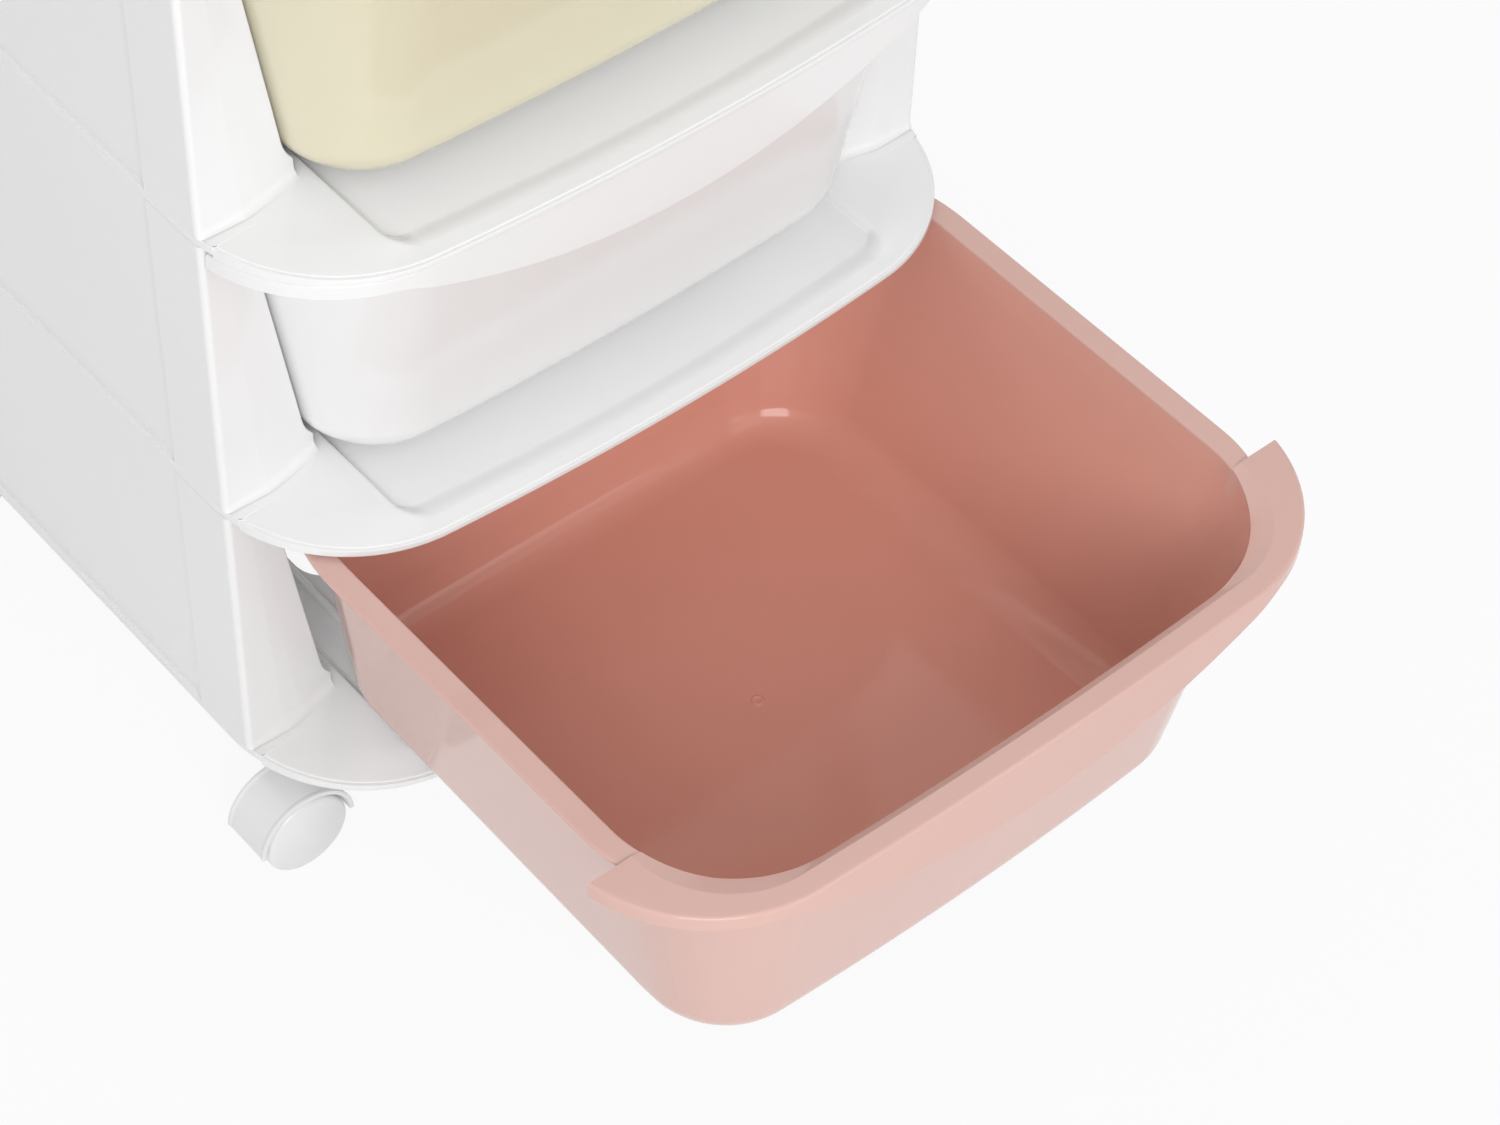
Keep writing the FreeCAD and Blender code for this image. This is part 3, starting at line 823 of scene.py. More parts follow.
def panel_loop(inner_x, outer_x, z):
    """Closed section of a right-hand panel at height z: rear post, set-back wall and front column."""
    flare = foot_flare(z)
    post = frame_depth - rear_post_depth
    wall = outer_x - panel_setback
    faces = [outer_x - column_edge + (inner_x - outer_x + column_edge) * share for share in (0.4, 0.6)]
    corners = [
        (half_width - rear_post_width, frame_depth, 0.8),
        (outer_x, frame_depth, column_edge),
        (outer_x, post, 0.6),
        (wall, post - 0.6, 0.6),
        (wall, column_depth + 0.6, 0.6),
        (outer_x, column_depth, 0.6),
        (outer_x, -0.2 * flare, column_edge),
    ]
    corners += [(x, column_front(x) - flare, 8.0) for x in faces]
    lean = column_front(inner_x)
    corners += [
        (inner_x, lean - flare, 1.2),
        (inner_x, lean + column_return, 0.7),
        (inner_x + panel_wall, lean + column_return, 0.7),
        (inner_x + panel_wall, lean + panel_wall, 0.4),
        (outer_x - panel_wall, panel_wall, 0.8),
        (outer_x - panel_wall, column_depth - panel_wall, 0.5),
        (wall - panel_wall, column_depth - panel_wall + 0.5, 0.5),
        (wall - panel_wall, post + panel_wall - 0.5, 0.5),
        (outer_x - panel_wall, post + panel_wall, 0.5),
        (outer_x - panel_wall, frame_depth - panel_wall, 0.8),
        (half_width - rear_post_width, frame_depth - panel_wall, 0.8),
    ]
    path = rounded_path(corners, 5)
    return [Vector((p.x, p.y, z)) for p in path + path[:1]]


def rail_height():
    return rim_top - rim_skin - 0.3


def panel_draft():
    notch = rail_height() - rail_thickness
    skirt = tier_pitch - shelf_skirt_height
    top = tier_pitch - shelf_skin
    heights = (
        0.0, 0.15, 0.5, 1.1, 2.0, 3.0, 4.0, 7.5, 9.0, 11.0, 13.0, 15.5, 18.0, 21.0, 26.0,
        50.0, 80.0, 110.0, 135.0, notch,
    )
    rows = [(passage_x(z), half_width, z) for z in heights]
    slot = rim_half_width + side_gap
    inner = half_width - shelf_skin - 0.2
    rows += [(slot, half_width, notch), (slot, half_width, skirt), (slot, inner, skirt), (slot, inner, top)]
    return skin([panel_loop(*row) for row in rows], caps=True)


def rail_draft():
    """Ledge that carries a drawer's rim, and the panel's foot."""
    outer = half_width - panel_setback - panel_wall + 0.4
    start = column_lean + panel_wall
    high = rail_height()
    edge = 0.6
    ledge_low = (rim_half_width - rail_grip, start, high - rail_thickness)
    ledge = soft_box(ledge_low, (outer, frame_depth - panel_wall, high), edge)
    foot_low = (outer - foot_width, column_depth, 0.0)
    foot = soft_box(foot_low, (outer, frame_depth - rear_post_depth, panel_wall), edge)
    return joined(ledge, foot)


def build_panels(material):
    right = joined(panel_draft(), rail_draft())
    shapes = {"right": right, "left": flipped(right)}
    for tier in TIERS:
        for side, _ in SIDES:
            node = "side_panel_%s_%d" % (side, tier)
            mesh = mesh_of(node, shapes[side], tier_place(tier))
            add_piece("wall_%s_%d" % (side, tier), mesh, material, "frame_white", "frame", node)


def softened_copy(node, edge):
    """Copy of a CAD node's mesh with its sharp edges eased."""
    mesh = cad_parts[node].data.copy()
    bm = bmesh.new()
    bm.from_mesh(mesh)
    bmesh.ops.remove_doubles(bm, verts=bm.verts, dist=1e-6)
    bmesh.ops.dissolve_limit(bm, angle_limit=flat_angle, verts=bm.verts, edges=bm.edges)
    sharp = [e for e in bm.edges if len(e.link_faces) == 2 and e.calc_face_angle() > eased_angle]
    bmesh.ops.bevel(
        bm, geom=sharp, offset=edge * MM, segments=3, profile=0.5, affect="EDGES", clamp_overlap=True)
    for face in bm.faces:
        face.smooth = True
    bm.to_mesh(mesh)
    bm.free()
    mesh.set_sharp_from_angle(angle=smooth_angle)
    return mesh


def build_back_rails(material):
    for tier in TIERS:
        node = "back_rail_%d" % tier
        add_piece("brace_%d" % tier, softened_copy(node, 0.5), material, "frame_white", "frame", node)


# Repeated ribs


def new_tree(name, inputs):
    tree = bpy.data.node_groups.new(name, "GeometryNodeTree")
    for socket_name, socket_type in inputs:
        tree.interface.new_socket(socket_name, in_out="INPUT", socket_type=socket_type)
    tree.interface.new_socket("Geometry", in_out="OUTPUT", socket_type="NodeSocketGeometry")
    return tree, tree.nodes.new("NodeGroupInput"), tree.nodes.new("NodeGroupOutput")


def finish_tree(tree, given, result, instances):
    """Ends a tree: instances become plain faces with the given material."""
    realize = tree.nodes.new("GeometryNodeRealizeInstances")
    paint = tree.nodes.new("GeometryNodeSetMaterial")
    tree.links.new(instances.outputs["Instances"], realize.inputs["Geometry"])
    tree.links.new(realize.outputs["Geometry"], paint.inputs["Geometry"])
    tree.links.new(given.outputs["Material"], paint.inputs["Material"])
    tree.links.new(paint.outputs["Geometry"], result.inputs["Geometry"])


def template_instances(tree, given, points):
    """Instances of the template object on points."""
    info = tree.nodes.new("GeometryNodeObjectInfo")
    info.inputs["As Instance"].default_value = True
    place = tree.nodes.new("GeometryNodeInstanceOnPoints")
    tree.links.new(given.outputs["Template"], info.inputs["Object"])
    tree.links.new(points, place.inputs["Points"])
    tree.links.new(info.outputs["Geometry"], place.inputs["Instance"])
    return place


def row_tree():
    """Template repeated along a straight row."""
    tree, given, result = new_tree("repeat_in_row", [
        ("Template", "NodeSocketObject"), ("Count", "NodeSocketInt"), ("Start", "NodeSocketVector"),
        ("Step", "NodeSocketVector"), ("Material", "NodeSocketMaterial")])
    line = tree.nodes.new("GeometryNodeMeshLine")
    for socket, source in (("Count", "Count"), ("Start Location", "Start"), ("Offset", "Step")):
        tree.links.new(given.outputs[source], line.inputs[socket])
    place = template_instances(tree, given, line.outputs["Mesh"])
    finish_tree(tree, given, result, place)
    return tree


def spoke_tree():
    """Template repeated round an upright post, turned to face outwards."""
    tree, given, result = new_tree("repeat_round_post", [
        ("Template", "NodeSocketObject"), ("Count", "NodeSocketInt"), ("Centre", "NodeSocketVector"),
        ("Material", "NodeSocketMaterial")])
    line = tree.nodes.new("GeometryNodeMeshLine")
    line.inputs["Offset"].default_value = (0.0, 0.0, 0.0)
    tree.links.new(given.outputs["Count"], line.inputs["Count"])
    tree.links.new(given.outputs["Centre"], line.inputs["Start Location"])
    place = template_instances(tree, given, line.outputs["Mesh"])
    index = tree.nodes.new("GeometryNodeInputIndex")
    share = tree.nodes.new("ShaderNodeMath")
    share.operation = "DIVIDE"
    turn = tree.nodes.new("ShaderNodeMath")
    turn.operation = "MULTIPLY"
    turn.inputs[1].default_value = 2 * math.pi
    aim = tree.nodes.new("ShaderNodeCombineXYZ")
    tree.links.new(index.outputs["Index"], share.inputs[0])
    tree.links.new(given.outputs["Count"], share.inputs[1])
    tree.links.new(share.outputs["Value"], turn.inputs[0])
    tree.links.new(turn.outputs["Value"], aim.inputs["Z"])
    tree.links.new(aim.outputs["Vector"], place.inputs["Rotation"])
    finish_tree(tree, given, result, place)
    return tree


def template_object(name, draft):
    return placed(name, mesh_of(name, draft))


def grown_mesh(name, tree, values):
    """Plain mesh that a node tree makes from its named inputs."""
    host = placed(name, bpy.data.meshes.new(name + "_host"))
    modifier = host.modifiers.new("grow", "NODES")
    modifier.node_group = tree
    for item in tree.interface.items_tree:
        if item.in_out == "INPUT":
            modifier[item.identifier] = values[item.name]
    mesh = settled_mesh(host)
    mesh.set_sharp_from_angle(angle=smooth_angle)
    return mesh


def row_places(tier, side, local, step):
    """Start and step of a row in metres."""
    start = Vector((side * local[0], front_y + local[1], floors[tier] + local[2])) * MM
    return {"Start": start, "Step": Vector(step) * MM}


def gusset_draft(side):
    """Triangular gusset under a drawer rail, its corner at the origin, reaching inwards."""
    reach = rail_grip + half_width - panel_setback - panel_wall - rim_half_width - 2.0
    edge = 0.4
    rings = []
    for y, inset in ((0.0, edge), (edge, 0.0), (rib_thickness - edge, 0.0), (rib_thickness, edge)):
        corners = [(0.0, 0.3), (-side * (reach - inset), 0.3), (0.0, -gusset_height + inset)]
        rings.append([Vector((x, y, z)) for x, z in corners + corners[:1]])
    return skin(rings, caps=True)


def build_gussets(tree, material):
    start_y = column_lean + panel_wall + column_depth
    step = (frame_depth - panel_wall - start_y) / gusset_count
    local = (half_width - panel_setback - panel_wall + 0.3, start_y, rail_height() - rail_thickness)
    for side_name, side in SIDES:
        template = template_object("gusset_" + side_name, gusset_draft(side))
        for tier in TIERS:
            name = "gussets_%s_%d" % (side_name, tier)
            values = {"Template": template, "Count": gusset_count, "Material": material}
            values.update(row_places(tier, side, local, (0.0, step, 0.0)))
            add_piece(name, grown_mesh(name, tree, values), material, "frame_white", "frame")
        bpy.data.objects.remove(template)


def build_ear_ribs(tree, material):
    inner = pan_half_width + shelf_skin
    outer = half_width - 2 * shelf_skin - panel_wall
    draft = soft_box(
        (-(outer - inner) / 2, 0.0, -rib_height), ((outer - inner) / 2, rib_thickness, 0.3), 0.4)
    template = template_object("ear_rib", draft)
    step = (rib_last - rib_first) / (rib_count - 1)
    local = ((inner + outer) / 2, rib_first, -shelf_skin)
    for tier in shelf_nodes:
        for side_name, side in SIDES:
            name = "ear_ribs_%s_%d" % (side_name, tier)
            values = {"Template": template, "Count": rib_count, "Material": material}
            values.update(row_places(tier, side, local, (0.0, step, 0.0)))
            add_piece(name, grown_mesh(name, tree, values), material, "frame_white", "frame")
    bpy.data.objects.remove(template)


def build_socket_fins(tree, material):
    half = rib_thickness / 2
    low = (socket_radius - 0.5, -half, -rib_height)
    high = (socket_radius + socket_fin, half, 0.3)
    template = template_object("socket_fin", soft_box(low, high, 0.4))
    for i, (x, y) in enumerate(caster_stems()):
        name = "socket_fins_%d" % (i + 1)
        centre = Vector((x, front_y + y, floors[1] - shelf_skin)) * MM
        values = {"Template": template, "Count": socket_fin_count, "Centre": centre, "Material": material}
        add_piece(name, grown_mesh(name, tree, values), material, "frame_white", "frame")
    bpy.data.objects.remove(template)


# Casters


def caster_names():
    return ["caster_%s_%s" % (end, side) for end in ("front", "rear") for side, _ in SIDES]


def caster_stems():
    """Local plan places of the four stems."""
    places = []
    for name in caster_names():
        low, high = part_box(name + "_stem")
        places.append(((low.x + high.x) / 2 / MM, (low.y + high.y) / 2 / MM - front_y))
    return places


def hood_profile():
    """Closed (radius, y) section of the hood's skin with a beaded rim at each end."""
    inner = wheel_radius + hood_gap
    outer = inner + hood_skin
    half = web_thickness / 2 + wheel_side_gap + wheel_width
    bead = outer + hood_bead
    side = [
        (outer, half - hood_bead_width - 1.2), (outer + 0.1, half - hood_bead_width - 0.5),
        (bead - 0.1, half - hood_bead_width + 0.2), (bead, half - hood_bead_width + 0.7),
        (bead, half - 0.6), (bead - 0.2, half - 0.15), (bead - 0.7, half), (inner + 0.6, half),
        (inner + 0.15, half - 0.15), (inner, half - 0.6),
    ]
    near = [(r, -y) for r, y in side[::-1]]
    return side + near + side[:1]


def hood_draft():
    """Half-round hood about the axle at the origin, with its web."""
    inner = wheel_radius + hood_gap
    outer = inner + hood_skin
    low = math.radians(hood_lower_angle)
    profile = hood_profile()
    shell = lathe(profile, hood_steps, math.pi - 2 * low, low)
    count = len(profile)
    last = hood_steps * count
    ends = [tuple(range(count - 1)), tuple(range(last, last + count - 1))]
    shell = (shell[0], shell[1] + ends)
    half = web_thickness / 2
    edge = 0.6
    shoulder = 0.7
    plate = []
    for y, inset in ((-half, edge), (-half + edge, 0.0), (half - edge, 0.0), (half, edge)):
        radius = outer - hood_skin / 2
        arc = [low + (math.pi - 2 * low) * k / turned_steps for k in range(turned_steps + 1)]
        ends_low = -wheel_hub_radius + inset
        outline = [(radius * math.cos(a), radius * math.sin(a)) for a in arc]
        side = wheel_hub_radius * shoulder
        outline += [(-wheel_hub_radius + inset, 0.0), (-side, ends_low * shoulder), (0.0, ends_low)]
        outline += [(side, ends_low * shoulder), (wheel_hub_radius - inset, 0.0)]
        plate.append([Vector((x, y, z)) for x, z in outline + outline[:1]])
    web = skin(plate, caps=True)
    return joined(shell, web)


def boss_draft(rise):
    """Round boss on the hood under the stem, rise above the axle."""
    outer = wheel_radius + hood_gap + hood_skin
    foot = math.sqrt(outer ** 2 - (caster_trail + boss_radius) ** 2) - hood_skin
    profile = [
        (boss_radius + 1.2, foot), (boss_radius + 0.3, foot + 2.0), (boss_radius, foot + 4.0),
        (boss_radius, rise - 0.6), (boss_radius - 0.2, rise - 0.15), (boss_radius - 0.7, rise),
        (stem_radius, rise),
    ]
    turned = lathe(profile, turned_steps)
    return mapped(turned, lambda v: Vector((caster_trail + v.x, v.z, v.y)))


def wheel_draft():
    """Domed wheel on the far side of the web, about the axle at the origin."""
    inner = web_thickness / 2 + wheel_side_gap
    outer = inner + wheel_width
    rim = wheel_radius - wheel_edge
    dome = (rim ** 2 + wheel_dome ** 2) / (2 * wheel_dome)
    profile = []
    for k in range(11):
        r = rim * k / 10
        profile.append((r, outer + wheel_dome - dome + math.sqrt(dome ** 2 - r ** 2)))
    for k in range(1, 8):
        angle = math.pi / 2 * (1 - k / 7)
        out = wheel_edge * math.cos(angle)
        profile.append((rim + out, outer - wheel_edge + wheel_edge * math.sin(angle)))
    profile += [
        (wheel_radius, inner + 2.0), (wheel_radius - 0.3, inner + 1.0), (wheel_radius - 1.0, inner + 0.3),
        (rim, inner), (rim - wheel_recess, inner + wheel_recess),
        (wheel_hub_radius + 0.5, inner + wheel_recess), (wheel_hub_radius, inner + 1.5),
        (wheel_hub_radius - 0.2, inner), (wheel_bore, inner),
    ]
    return lathe(profile, wheel_steps)


def build_casters(hood_material, wheel_material, steel):
    far_wheel = wheel_draft()
    near_wheel = mapped(far_wheel, lambda v: Vector((v.x, -v.y, v.z)))
    hood = hood_draft()
    for name in caster_names():
        low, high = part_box(name + "_wheel_near")
        far_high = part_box(name + "_wheel_far")[1]
        axle = Vector((low.x + high.x, low.y + far_high.y, low.z + high.z)) / 2 / MM
        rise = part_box(name + "_hood")[1].z / MM - axle.z
        side = 1 if axle.x < 0 else -1
        cover = joined(hood, boss_draft(rise))
        cover = cover if side > 0 else flipped(cover)
        mesh = mesh_of(name + "_hood", cover, axle)
        add_piece(name + "_cover", mesh, hood_material, "caster_white", name, name + "_hood")
        for place, draft in (("near", near_wheel), ("far", far_wheel)):
            node = "%s_wheel_%s" % (name, place)
            mesh = mesh_of(node, draft, axle)
            body = "%s_%s" % (name, place)
            add_piece(body + "_disc", mesh, wheel_material, "wheel_white", body, node)
        for part in ("stem", "axle"):
            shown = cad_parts["%s_%s" % (name, part)]
            shown.data.materials.clear()
            shown.data.materials.append(steel)


# Materials


def node_material(name):
    material = bpy.data.materials.new(name)
    material.use_nodes = True
    return material, material.node_tree.nodes, material.node_tree.links


def tone_mix(tree, share, first, second):
    """Colour between two tones, each a colour or the output of a node."""
    mix = tree.nodes.new("ShaderNodeMix")
    mix.data_type = "RGBA"
    tree.links.new(share, mix.inputs["Factor"])
    for socket, tone in ((mix.inputs[6], first), (mix.inputs[7], second)):
        if isinstance(tone, tuple):
            socket.default_value = tone
        else:
            tree.links.new(tone, socket)
    return mix.outputs[2]


def moulded_group():
    """Shared look of moulded plastic: flow marks, uneven gloss, fine grain and faint scuffs."""
    group = bpy.data.node_groups.new("moulded_plastic", "ShaderNodeTree")
    sockets = (
        ("INPUT", "NodeSocketColor", ("Tone", "Deep Tone")),
        ("INPUT", "NodeSocketFloat", ("Gloss Roughness", "Flow Size", "Grain Size", "Scuff Amount")),
        ("OUTPUT", "NodeSocketColor", ("Color",)),
        ("OUTPUT", "NodeSocketFloat", ("Roughness", "Height")),
    )
    for way, kind, names in sockets:
        for name in names:
            group.interface.new_socket(name, in_out=way, socket_type=kind)
    given = group.nodes.new("NodeGroupInput")
    result = group.nodes.new("NodeGroupOutput")
    place = group.nodes.new("ShaderNodeTexCoord")

    def noise(size, detail, stretch=None):
        node = group.nodes.new("ShaderNodeTexNoise")
        node.inputs["Detail"].default_value = detail
        group.links.new(given.outputs[size], node.inputs["Scale"])
        if stretch is None:
            group.links.new(place.outputs["Object"], node.inputs["Vector"])
            return node
        mapping = group.nodes.new("ShaderNodeMapping")
        mapping.inputs["Scale"].default_value = stretch
        mapping.inputs["Rotation"].default_value = (0.4, 0.3, 0.6)
        group.links.new(place.outputs["Object"], mapping.inputs["Vector"])
        group.links.new(mapping.outputs["Vector"], node.inputs["Vector"])
        return node

    def fit(source, low, high, to_low, to_high):
        node = group.nodes.new("ShaderNodeMapRange")
        limits = {"From Min": low, "From Max": high, "To Min": to_low, "To Max": to_high}
        for socket, value in limits.items():
            node.inputs[socket].default_value = value
        group.links.new(source, node.inputs["Value"])
        return node.outputs["Result"]

    def math_node(operation, a, b):
        node = group.nodes.new("ShaderNodeMath")
        node.operation = operation
        for socket, value in zip(node.inputs, (a, b)):
            if isinstance(value, float):
                socket.default_value = value
            else:
                group.links.new(value, socket)
        return node.outputs["Value"]

    flow = noise("Flow Size", 3.0, (1.0, 0.45, 0.7))
    grain = noise("Grain Size", 2.0)
    scuff = noise("Flow Size", 6.0, (9.0, 2.0, 5.0))
    marks = fit(flow.outputs["Fac"], 0.3, 0.7, 0.0, 1.0)
    tint = tone_mix(group, marks, given.outputs["Tone"], given.outputs["Deep Tone"])
    group.links.new(tint, result.inputs["Color"])
    worn = fit(scuff.outputs["Fac"], 0.62, 0.78, 0.0, 1.0)
    worn = math_node("MULTIPLY", worn, given.outputs["Scuff Amount"])
    uneven = fit(flow.outputs["Fac"], 0.3, 0.7, 0.9, 1.15)
    gloss = math_node("MULTIPLY", given.outputs["Gloss Roughness"], uneven)
    group.links.new(math_node("ADD", gloss, worn), result.inputs["Roughness"])
    wave = fit(flow.outputs["Fac"], 0.0, 1.0, 0.0, 1.0)
    fine = fit(grain.outputs["Fac"], 0.0, 1.0, 0.0, 0.12)
    group.links.new(math_node("ADD", wave, fine), result.inputs["Height"])
    return group


def moulded_material(name, group, tone, deep_tone, roughness, flow_size, grain_size, scuff, waviness):
    material, nodes, links = node_material(name)
    shader = nodes["Principled BSDF"]
    shader.inputs["IOR"].default_value = 1.49
    look = nodes.new("ShaderNodeGroup")
    look.node_tree = group
    look.inputs["Tone"].default_value = (*tone, 1.0)
    look.inputs["Deep Tone"].default_value = (*deep_tone, 1.0)
    look.inputs["Gloss Roughness"].default_value = roughness
    look.inputs["Flow Size"].default_value = flow_size
    look.inputs["Grain Size"].default_value = grain_size
    look.inputs["Scuff Amount"].default_value = scuff
    bump = nodes.new("ShaderNodeBump")
    bump.inputs["Strength"].default_value = waviness
    bump.inputs["Distance"].default_value = 0.0006
    links.new(look.outputs["Color"], shader.inputs["Base Color"])
    links.new(look.outputs["Roughness"], shader.inputs["Roughness"])
    links.new(look.outputs["Height"], bump.inputs["Height"])
    links.new(bump.outputs["Normal"], shader.inputs["Normal"])
    return material


def paint_inner_shade(material, tone):
    """Painted shade: deeper tone on the inner faces of a drawer, which its mesh marks with an attribute, in
    place of the shade and colour bounce inside the tub.
    """
    tree = material.node_tree
    look = next(node for node in tree.nodes if node.type == "GROUP")
    inside = tree.nodes.new("ShaderNodeAttribute")
    inside.attribute_name = painted_shade_mark
    for socket in ("Tone", "Deep Tone"):
        outer_tone = tuple(look.inputs[socket].default_value)
        tint = tone_mix(tree, inside.outputs["Fac"], outer_tone, (*tone, 1.0))
        tree.links.new(tint, look.inputs[socket])


def calm_bounce(material, tone):
    """Paler tone for the light that a drawer throws on its neighbours, less so from its inner faces."""
    nodes = material.node_tree.nodes
    links = material.node_tree.links
    look = next(node for node in nodes if node.type == "GROUP")
    inside = next(node for node in nodes if node.type == "ATTRIBUTE")
    rays = nodes.new("ShaderNodeLightPath")
    outer = nodes.new("ShaderNodeMath")
    outer.operation = "MULTIPLY_ADD"
    outer.use_clamp = True
    links.new(inside.outputs["Fac"], outer.inputs[0])
    outer.inputs[1].default_value = -inner_bounce_loss
    links.new(rays.outputs["Is Diffuse Ray"], outer.inputs[2])
    pale = tone_mix(material.node_tree, outer.outputs["Value"], look.outputs["Color"], (*tone, 1.0))
    links.new(pale, nodes["Principled BSDF"].inputs["Base Color"])


def steel_material():
    """Bright steel of an uneven fine gloss."""
    material, nodes, links = node_material("drawn_steel")
    shader = nodes["Principled BSDF"]
    shader.inputs["Metallic"].default_value = 1.0
    place = nodes.new("ShaderNodeTexCoord")
    grain = nodes.new("ShaderNodeTexNoise")
    grain.inputs["Scale"].default_value = 900.0
    tone = nodes.new("ShaderNodeValToRGB")
    tone.color_ramp.elements[0].color = (0.5, 0.5, 0.51, 1.0)
    tone.color_ramp.elements[1].color = (0.68, 0.68, 0.69, 1.0)
    rough = nodes.new("ShaderNodeMapRange")
    rough.inputs["To Min"].default_value = 0.22
    rough.inputs["To Max"].default_value = 0.42
    links.new(place.outputs["Object"], grain.inputs["Vector"])
    links.new(grain.outputs["Fac"], tone.inputs["Fac"])
    links.new(grain.outputs["Fac"], rough.inputs["Value"])
    links.new(tone.outputs["Color"], shader.inputs["Base Color"])
    links.new(rough.outputs["Result"], shader.inputs["Roughness"])
    return material


def make_materials():
    group = moulded_group()
    rows = {
        "frame_white": ((0.89, 0.89, 0.89), (0.87, 0.87, 0.872), 0.12, 9.0, 900.0, 0.03, 0.05),
        "drawer_pink": ((0.725, 0.468, 0.417), (0.71, 0.453, 0.397), 0.1, 8.0, 900.0, 0.03, 0.05),
        "drawer_white": ((0.89, 0.89, 0.89), (0.87, 0.87, 0.872), 0.12, 8.0, 900.0, 0.03, 0.05),
        "drawer_cream": ((0.75, 0.705, 0.53), (0.73, 0.68, 0.5), 0.12, 8.0, 900.0, 0.03, 0.05),
        "caster_white": ((0.87, 0.87, 0.872), (0.84, 0.84, 0.845), 0.22, 30.0, 1200.0, 0.05, 0.06),
        "wheel_white": ((0.87, 0.87, 0.872), (0.84, 0.84, 0.845), 0.3, 40.0, 1400.0, 0.06, 0.08),
    }
    materials = {name: moulded_material(name, group, *row) for name, row in rows.items()}
    # Tones of the painted shade on the drawers' inner faces.
    inner_shade_tones = {
        "drawer_pink": (0.79, 0.352, 0.272),
        "drawer_white": (0.88, 0.88, 0.88),
        "drawer_cream": (0.75, 0.68, 0.48),
    }
    for name, tone in inner_shade_tones.items():
        paint_inner_shade(materials[name], tone)
        shader = materials[name].node_tree.nodes["Principled BSDF"]
        shader.inputs["Specular IOR Level"].default_value = drawer_gloss
    calm_bounce(materials["drawer_pink"], (0.68, 0.62, 0.6))
    calm_bounce(materials["drawer_cream"], (0.76, 0.75, 0.72))
    materials["steel"] = steel_material()
    return materials


# Studio


def camera_axes(azimuth, elevation, roll):
    a = math.radians(azimuth)
    e = math.radians(elevation)
    r = math.radians(roll)
    back = Vector((math.sin(a) * math.cos(e), -math.cos(a) * math.cos(e), math.sin(e)))
    right = Vector((math.cos(a), math.sin(a), 0.0))
    up = back.cross(right)
    return right * math.cos(r) + up * math.sin(r), up * math.cos(r) - right * math.sin(r), back


def build_camera():
    azimuth = -42.35
    elevation = 48.93
    roll = 2.89
    focal_pixels = 3970.0
    image_width = 1500.0
    place = Vector((-798.0, front_y - 995.0, floors[1] + 1457.0)) * MM
    data = bpy.data.cameras.new("view")
    data.sensor_width = 36.0
    data.lens = focal_pixels / image_width * data.sensor_width
    camera = placed("view", data)
    right, up, back = camera_axes(azimuth, elevation, roll)
    turn = Matrix((right, up, back)).transposed()
    camera.matrix_world = Matrix.Translation(place) @ turn.to_4x4()
    bpy.context.scene.camera = camera


def soft_light(name, place, target, size, brightness):
    """Oblong soft box of the given brightness, aimed at a point."""
    data = bpy.data.lights.new(name, "AREA")
    data.shape = "RECTANGLE"
    data.size, data.size_y = size
    data.energy = brightness * math.pi * size[0] * size[1]
    lamp = placed(name, data)
    lamp.location = place
    aim = Vector(target) - Vector(place)
    lamp.rotation_euler = aim.to_track_quat("-Z", "Y").to_euler()


def seen_directly(nodes, links):
    """1 where the camera, a reflection or a see-through ray meets the surroundings, else 0."""
    path = nodes.new("ShaderNodeLightPath")
    seen = path.outputs["Is Camera Ray"]
    for kind in ("Is Glossy Ray", "Is Transmission Ray"):
        either = nodes.new("ShaderNodeMath")
        either.operation = "MAXIMUM"
        links.new(seen, either.inputs[0])
        links.new(path.outputs[kind], either.inputs[1])
        seen = either.outputs["Value"]
    return seen


def build_world():
    """Even pale surroundings, plain white where the camera or a reflection sees them."""
    world = bpy.data.worlds.new("studio")
    bpy.context.scene.world = world
    world.use_nodes = True
    nodes = world.node_tree.nodes
    links = world.node_tree.links
    sky = nodes["Background"]
    sky.inputs["Color"].default_value = (1.0, 1.0, 1.0, 1.0)
    sky.inputs["Strength"].default_value = 0.5
    white = nodes.new("ShaderNodeBackground")
    white.inputs["Color"].default_value = (1.0, 1.0, 1.0, 1.0)
    white.inputs["Strength"].default_value = 1.0
    choose = nodes.new("ShaderNodeMixShader")
    links.new(seen_directly(nodes, links), choose.inputs["Fac"])
    links.new(sky.outputs["Background"], choose.inputs[1])
    links.new(white.outputs["Background"], choose.inputs[2])
    links.new(choose.outputs["Shader"], nodes["World Output"].inputs["Surface"])


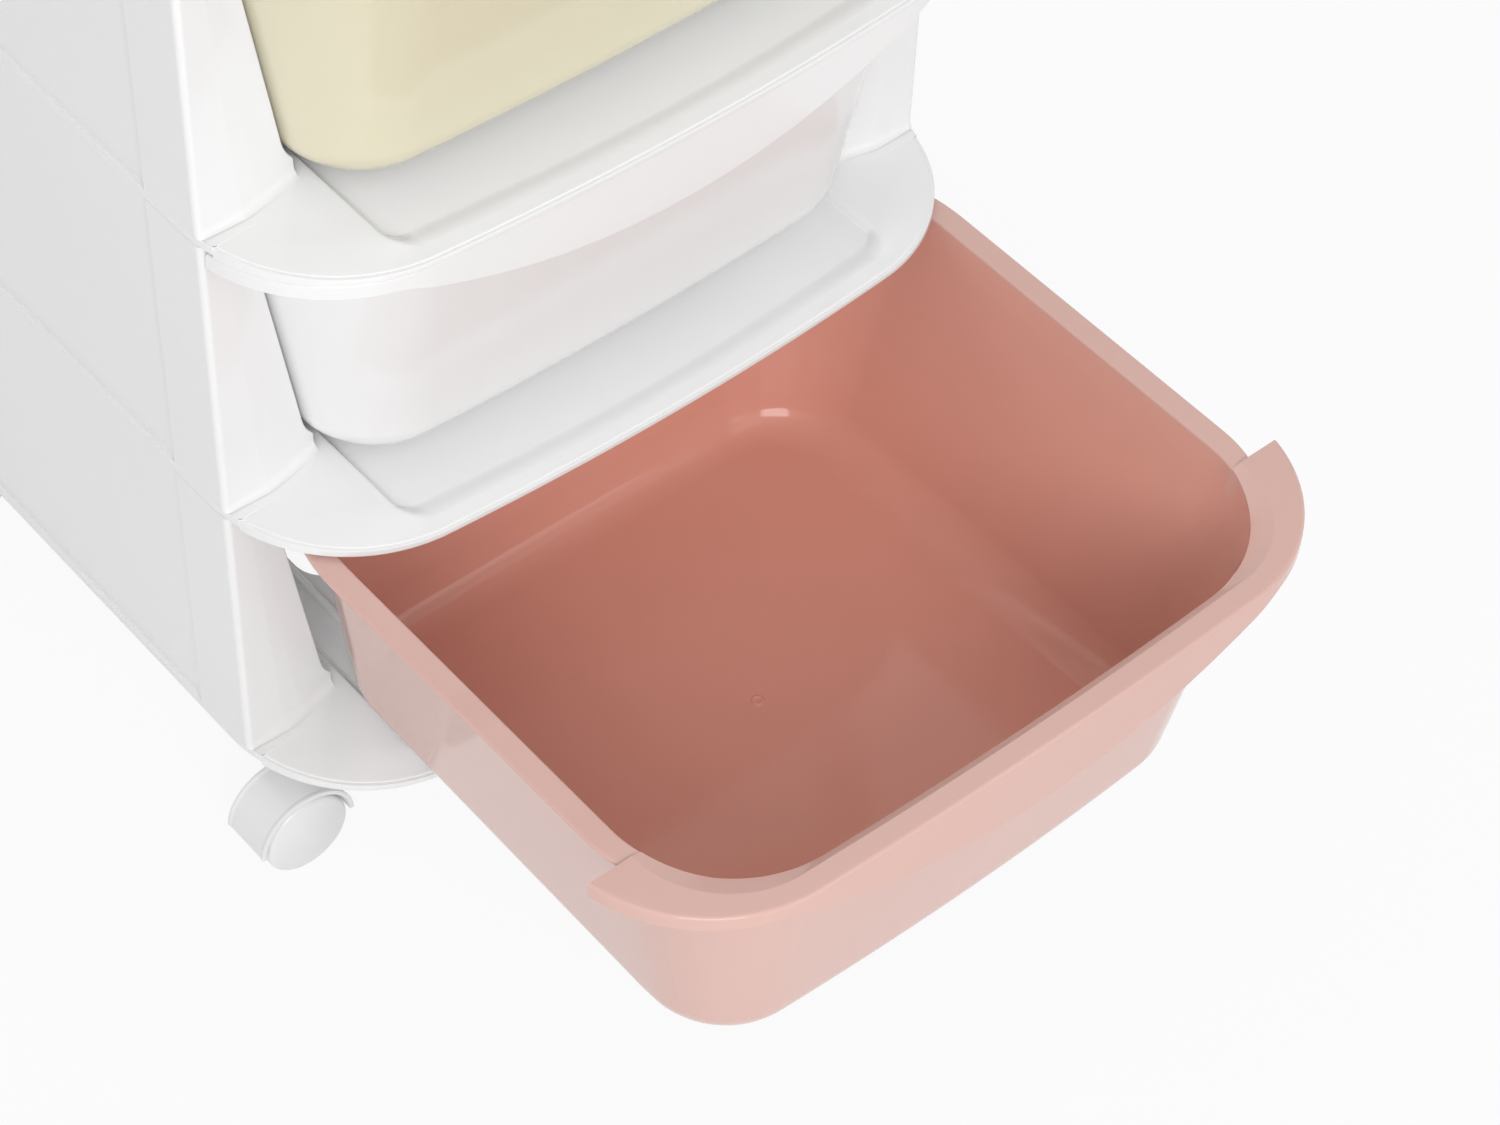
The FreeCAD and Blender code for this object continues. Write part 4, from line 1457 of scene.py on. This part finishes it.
def floor_material():
    """Pale floor that looks almost white to the camera and in reflections, with the unit's shadow on it."""
    white_share = 0.9
    material, nodes, links = node_material("pale_floor")
    nodes.remove(nodes["Principled BSDF"])
    paint = nodes.new("ShaderNodeBsdfDiffuse")
    paint.inputs["Color"].default_value = (0.8, 0.8, 0.8, 1.0)
    glow = nodes.new("ShaderNodeEmission")
    glow.inputs["Color"].default_value = (1.0, 1.0, 1.0, 1.0)
    share = nodes.new("ShaderNodeMath")
    share.operation = "MULTIPLY"
    share.inputs[1].default_value = white_share
    choose = nodes.new("ShaderNodeMixShader")
    links.new(seen_directly(nodes, links), share.inputs[0])
    links.new(share.outputs["Value"], choose.inputs["Fac"])
    links.new(paint.outputs["BSDF"], choose.inputs[1])
    links.new(glow.outputs["Emission"], choose.inputs[2])
    links.new(choose.outputs["Shader"], nodes["Material Output"].inputs["Surface"])
    return material


def build_floor():
    reach = 6.0
    mesh = bpy.data.meshes.new("floor")
    corners = [(-reach, -reach, 0), (reach, -reach, 0), (reach, reach, 0), (-reach, reach, 0)]
    mesh.from_pydata(corners, [], [(0, 1, 2, 3)])
    mesh.materials.append(floor_material())
    placed("floor", mesh)


def build_studio():
    build_camera()
    build_world()
    build_floor()
    middle = (0.0, -0.1, 0.3)
    soft_light("front_box", (-1.4, -2.0, 1.65), middle, (1.4, 1.2), 7.1)
    soft_light("low_front_box", (0.7, -2.3, 1.2), middle, (1.4, 1.0), 1.0)
    soft_light("right_box", (2.4, -0.4, 1.0), middle, (1.4, 1.4), 0.7)
    soft_light("back_box", (0.5, 1.9, 0.32), (0.0, 0.2, 0.15), (1.2, 0.48), 5.5)
    soft_light("high_front_box", (0.2, -1.6, 2.2), middle, (1.2, 0.8), 0.4)
    soft_light("high_left_box", (-0.9, -0.5, 2.3), middle, (0.8, 0.8), 0.6)
    soft_light("top_box", (0.2, 0.1, 2.4), middle, (1.6, 1.6), 0.35)
    bpy.context.scene.view_settings.view_transform = "Standard"


# The whole unit

materials = make_materials()
build_drawers(materials)
build_shelves(materials["frame_white"])
build_panels(materials["frame_white"])
build_back_rails(materials["frame_white"])
row_of = row_tree()
build_gussets(row_of, materials["frame_white"])
build_ear_ribs(row_of, materials["frame_white"])
build_socket_fins(spoke_tree(), materials["frame_white"])
build_casters(materials["caster_white"], materials["wheel_white"], materials["steel"])
build_studio()
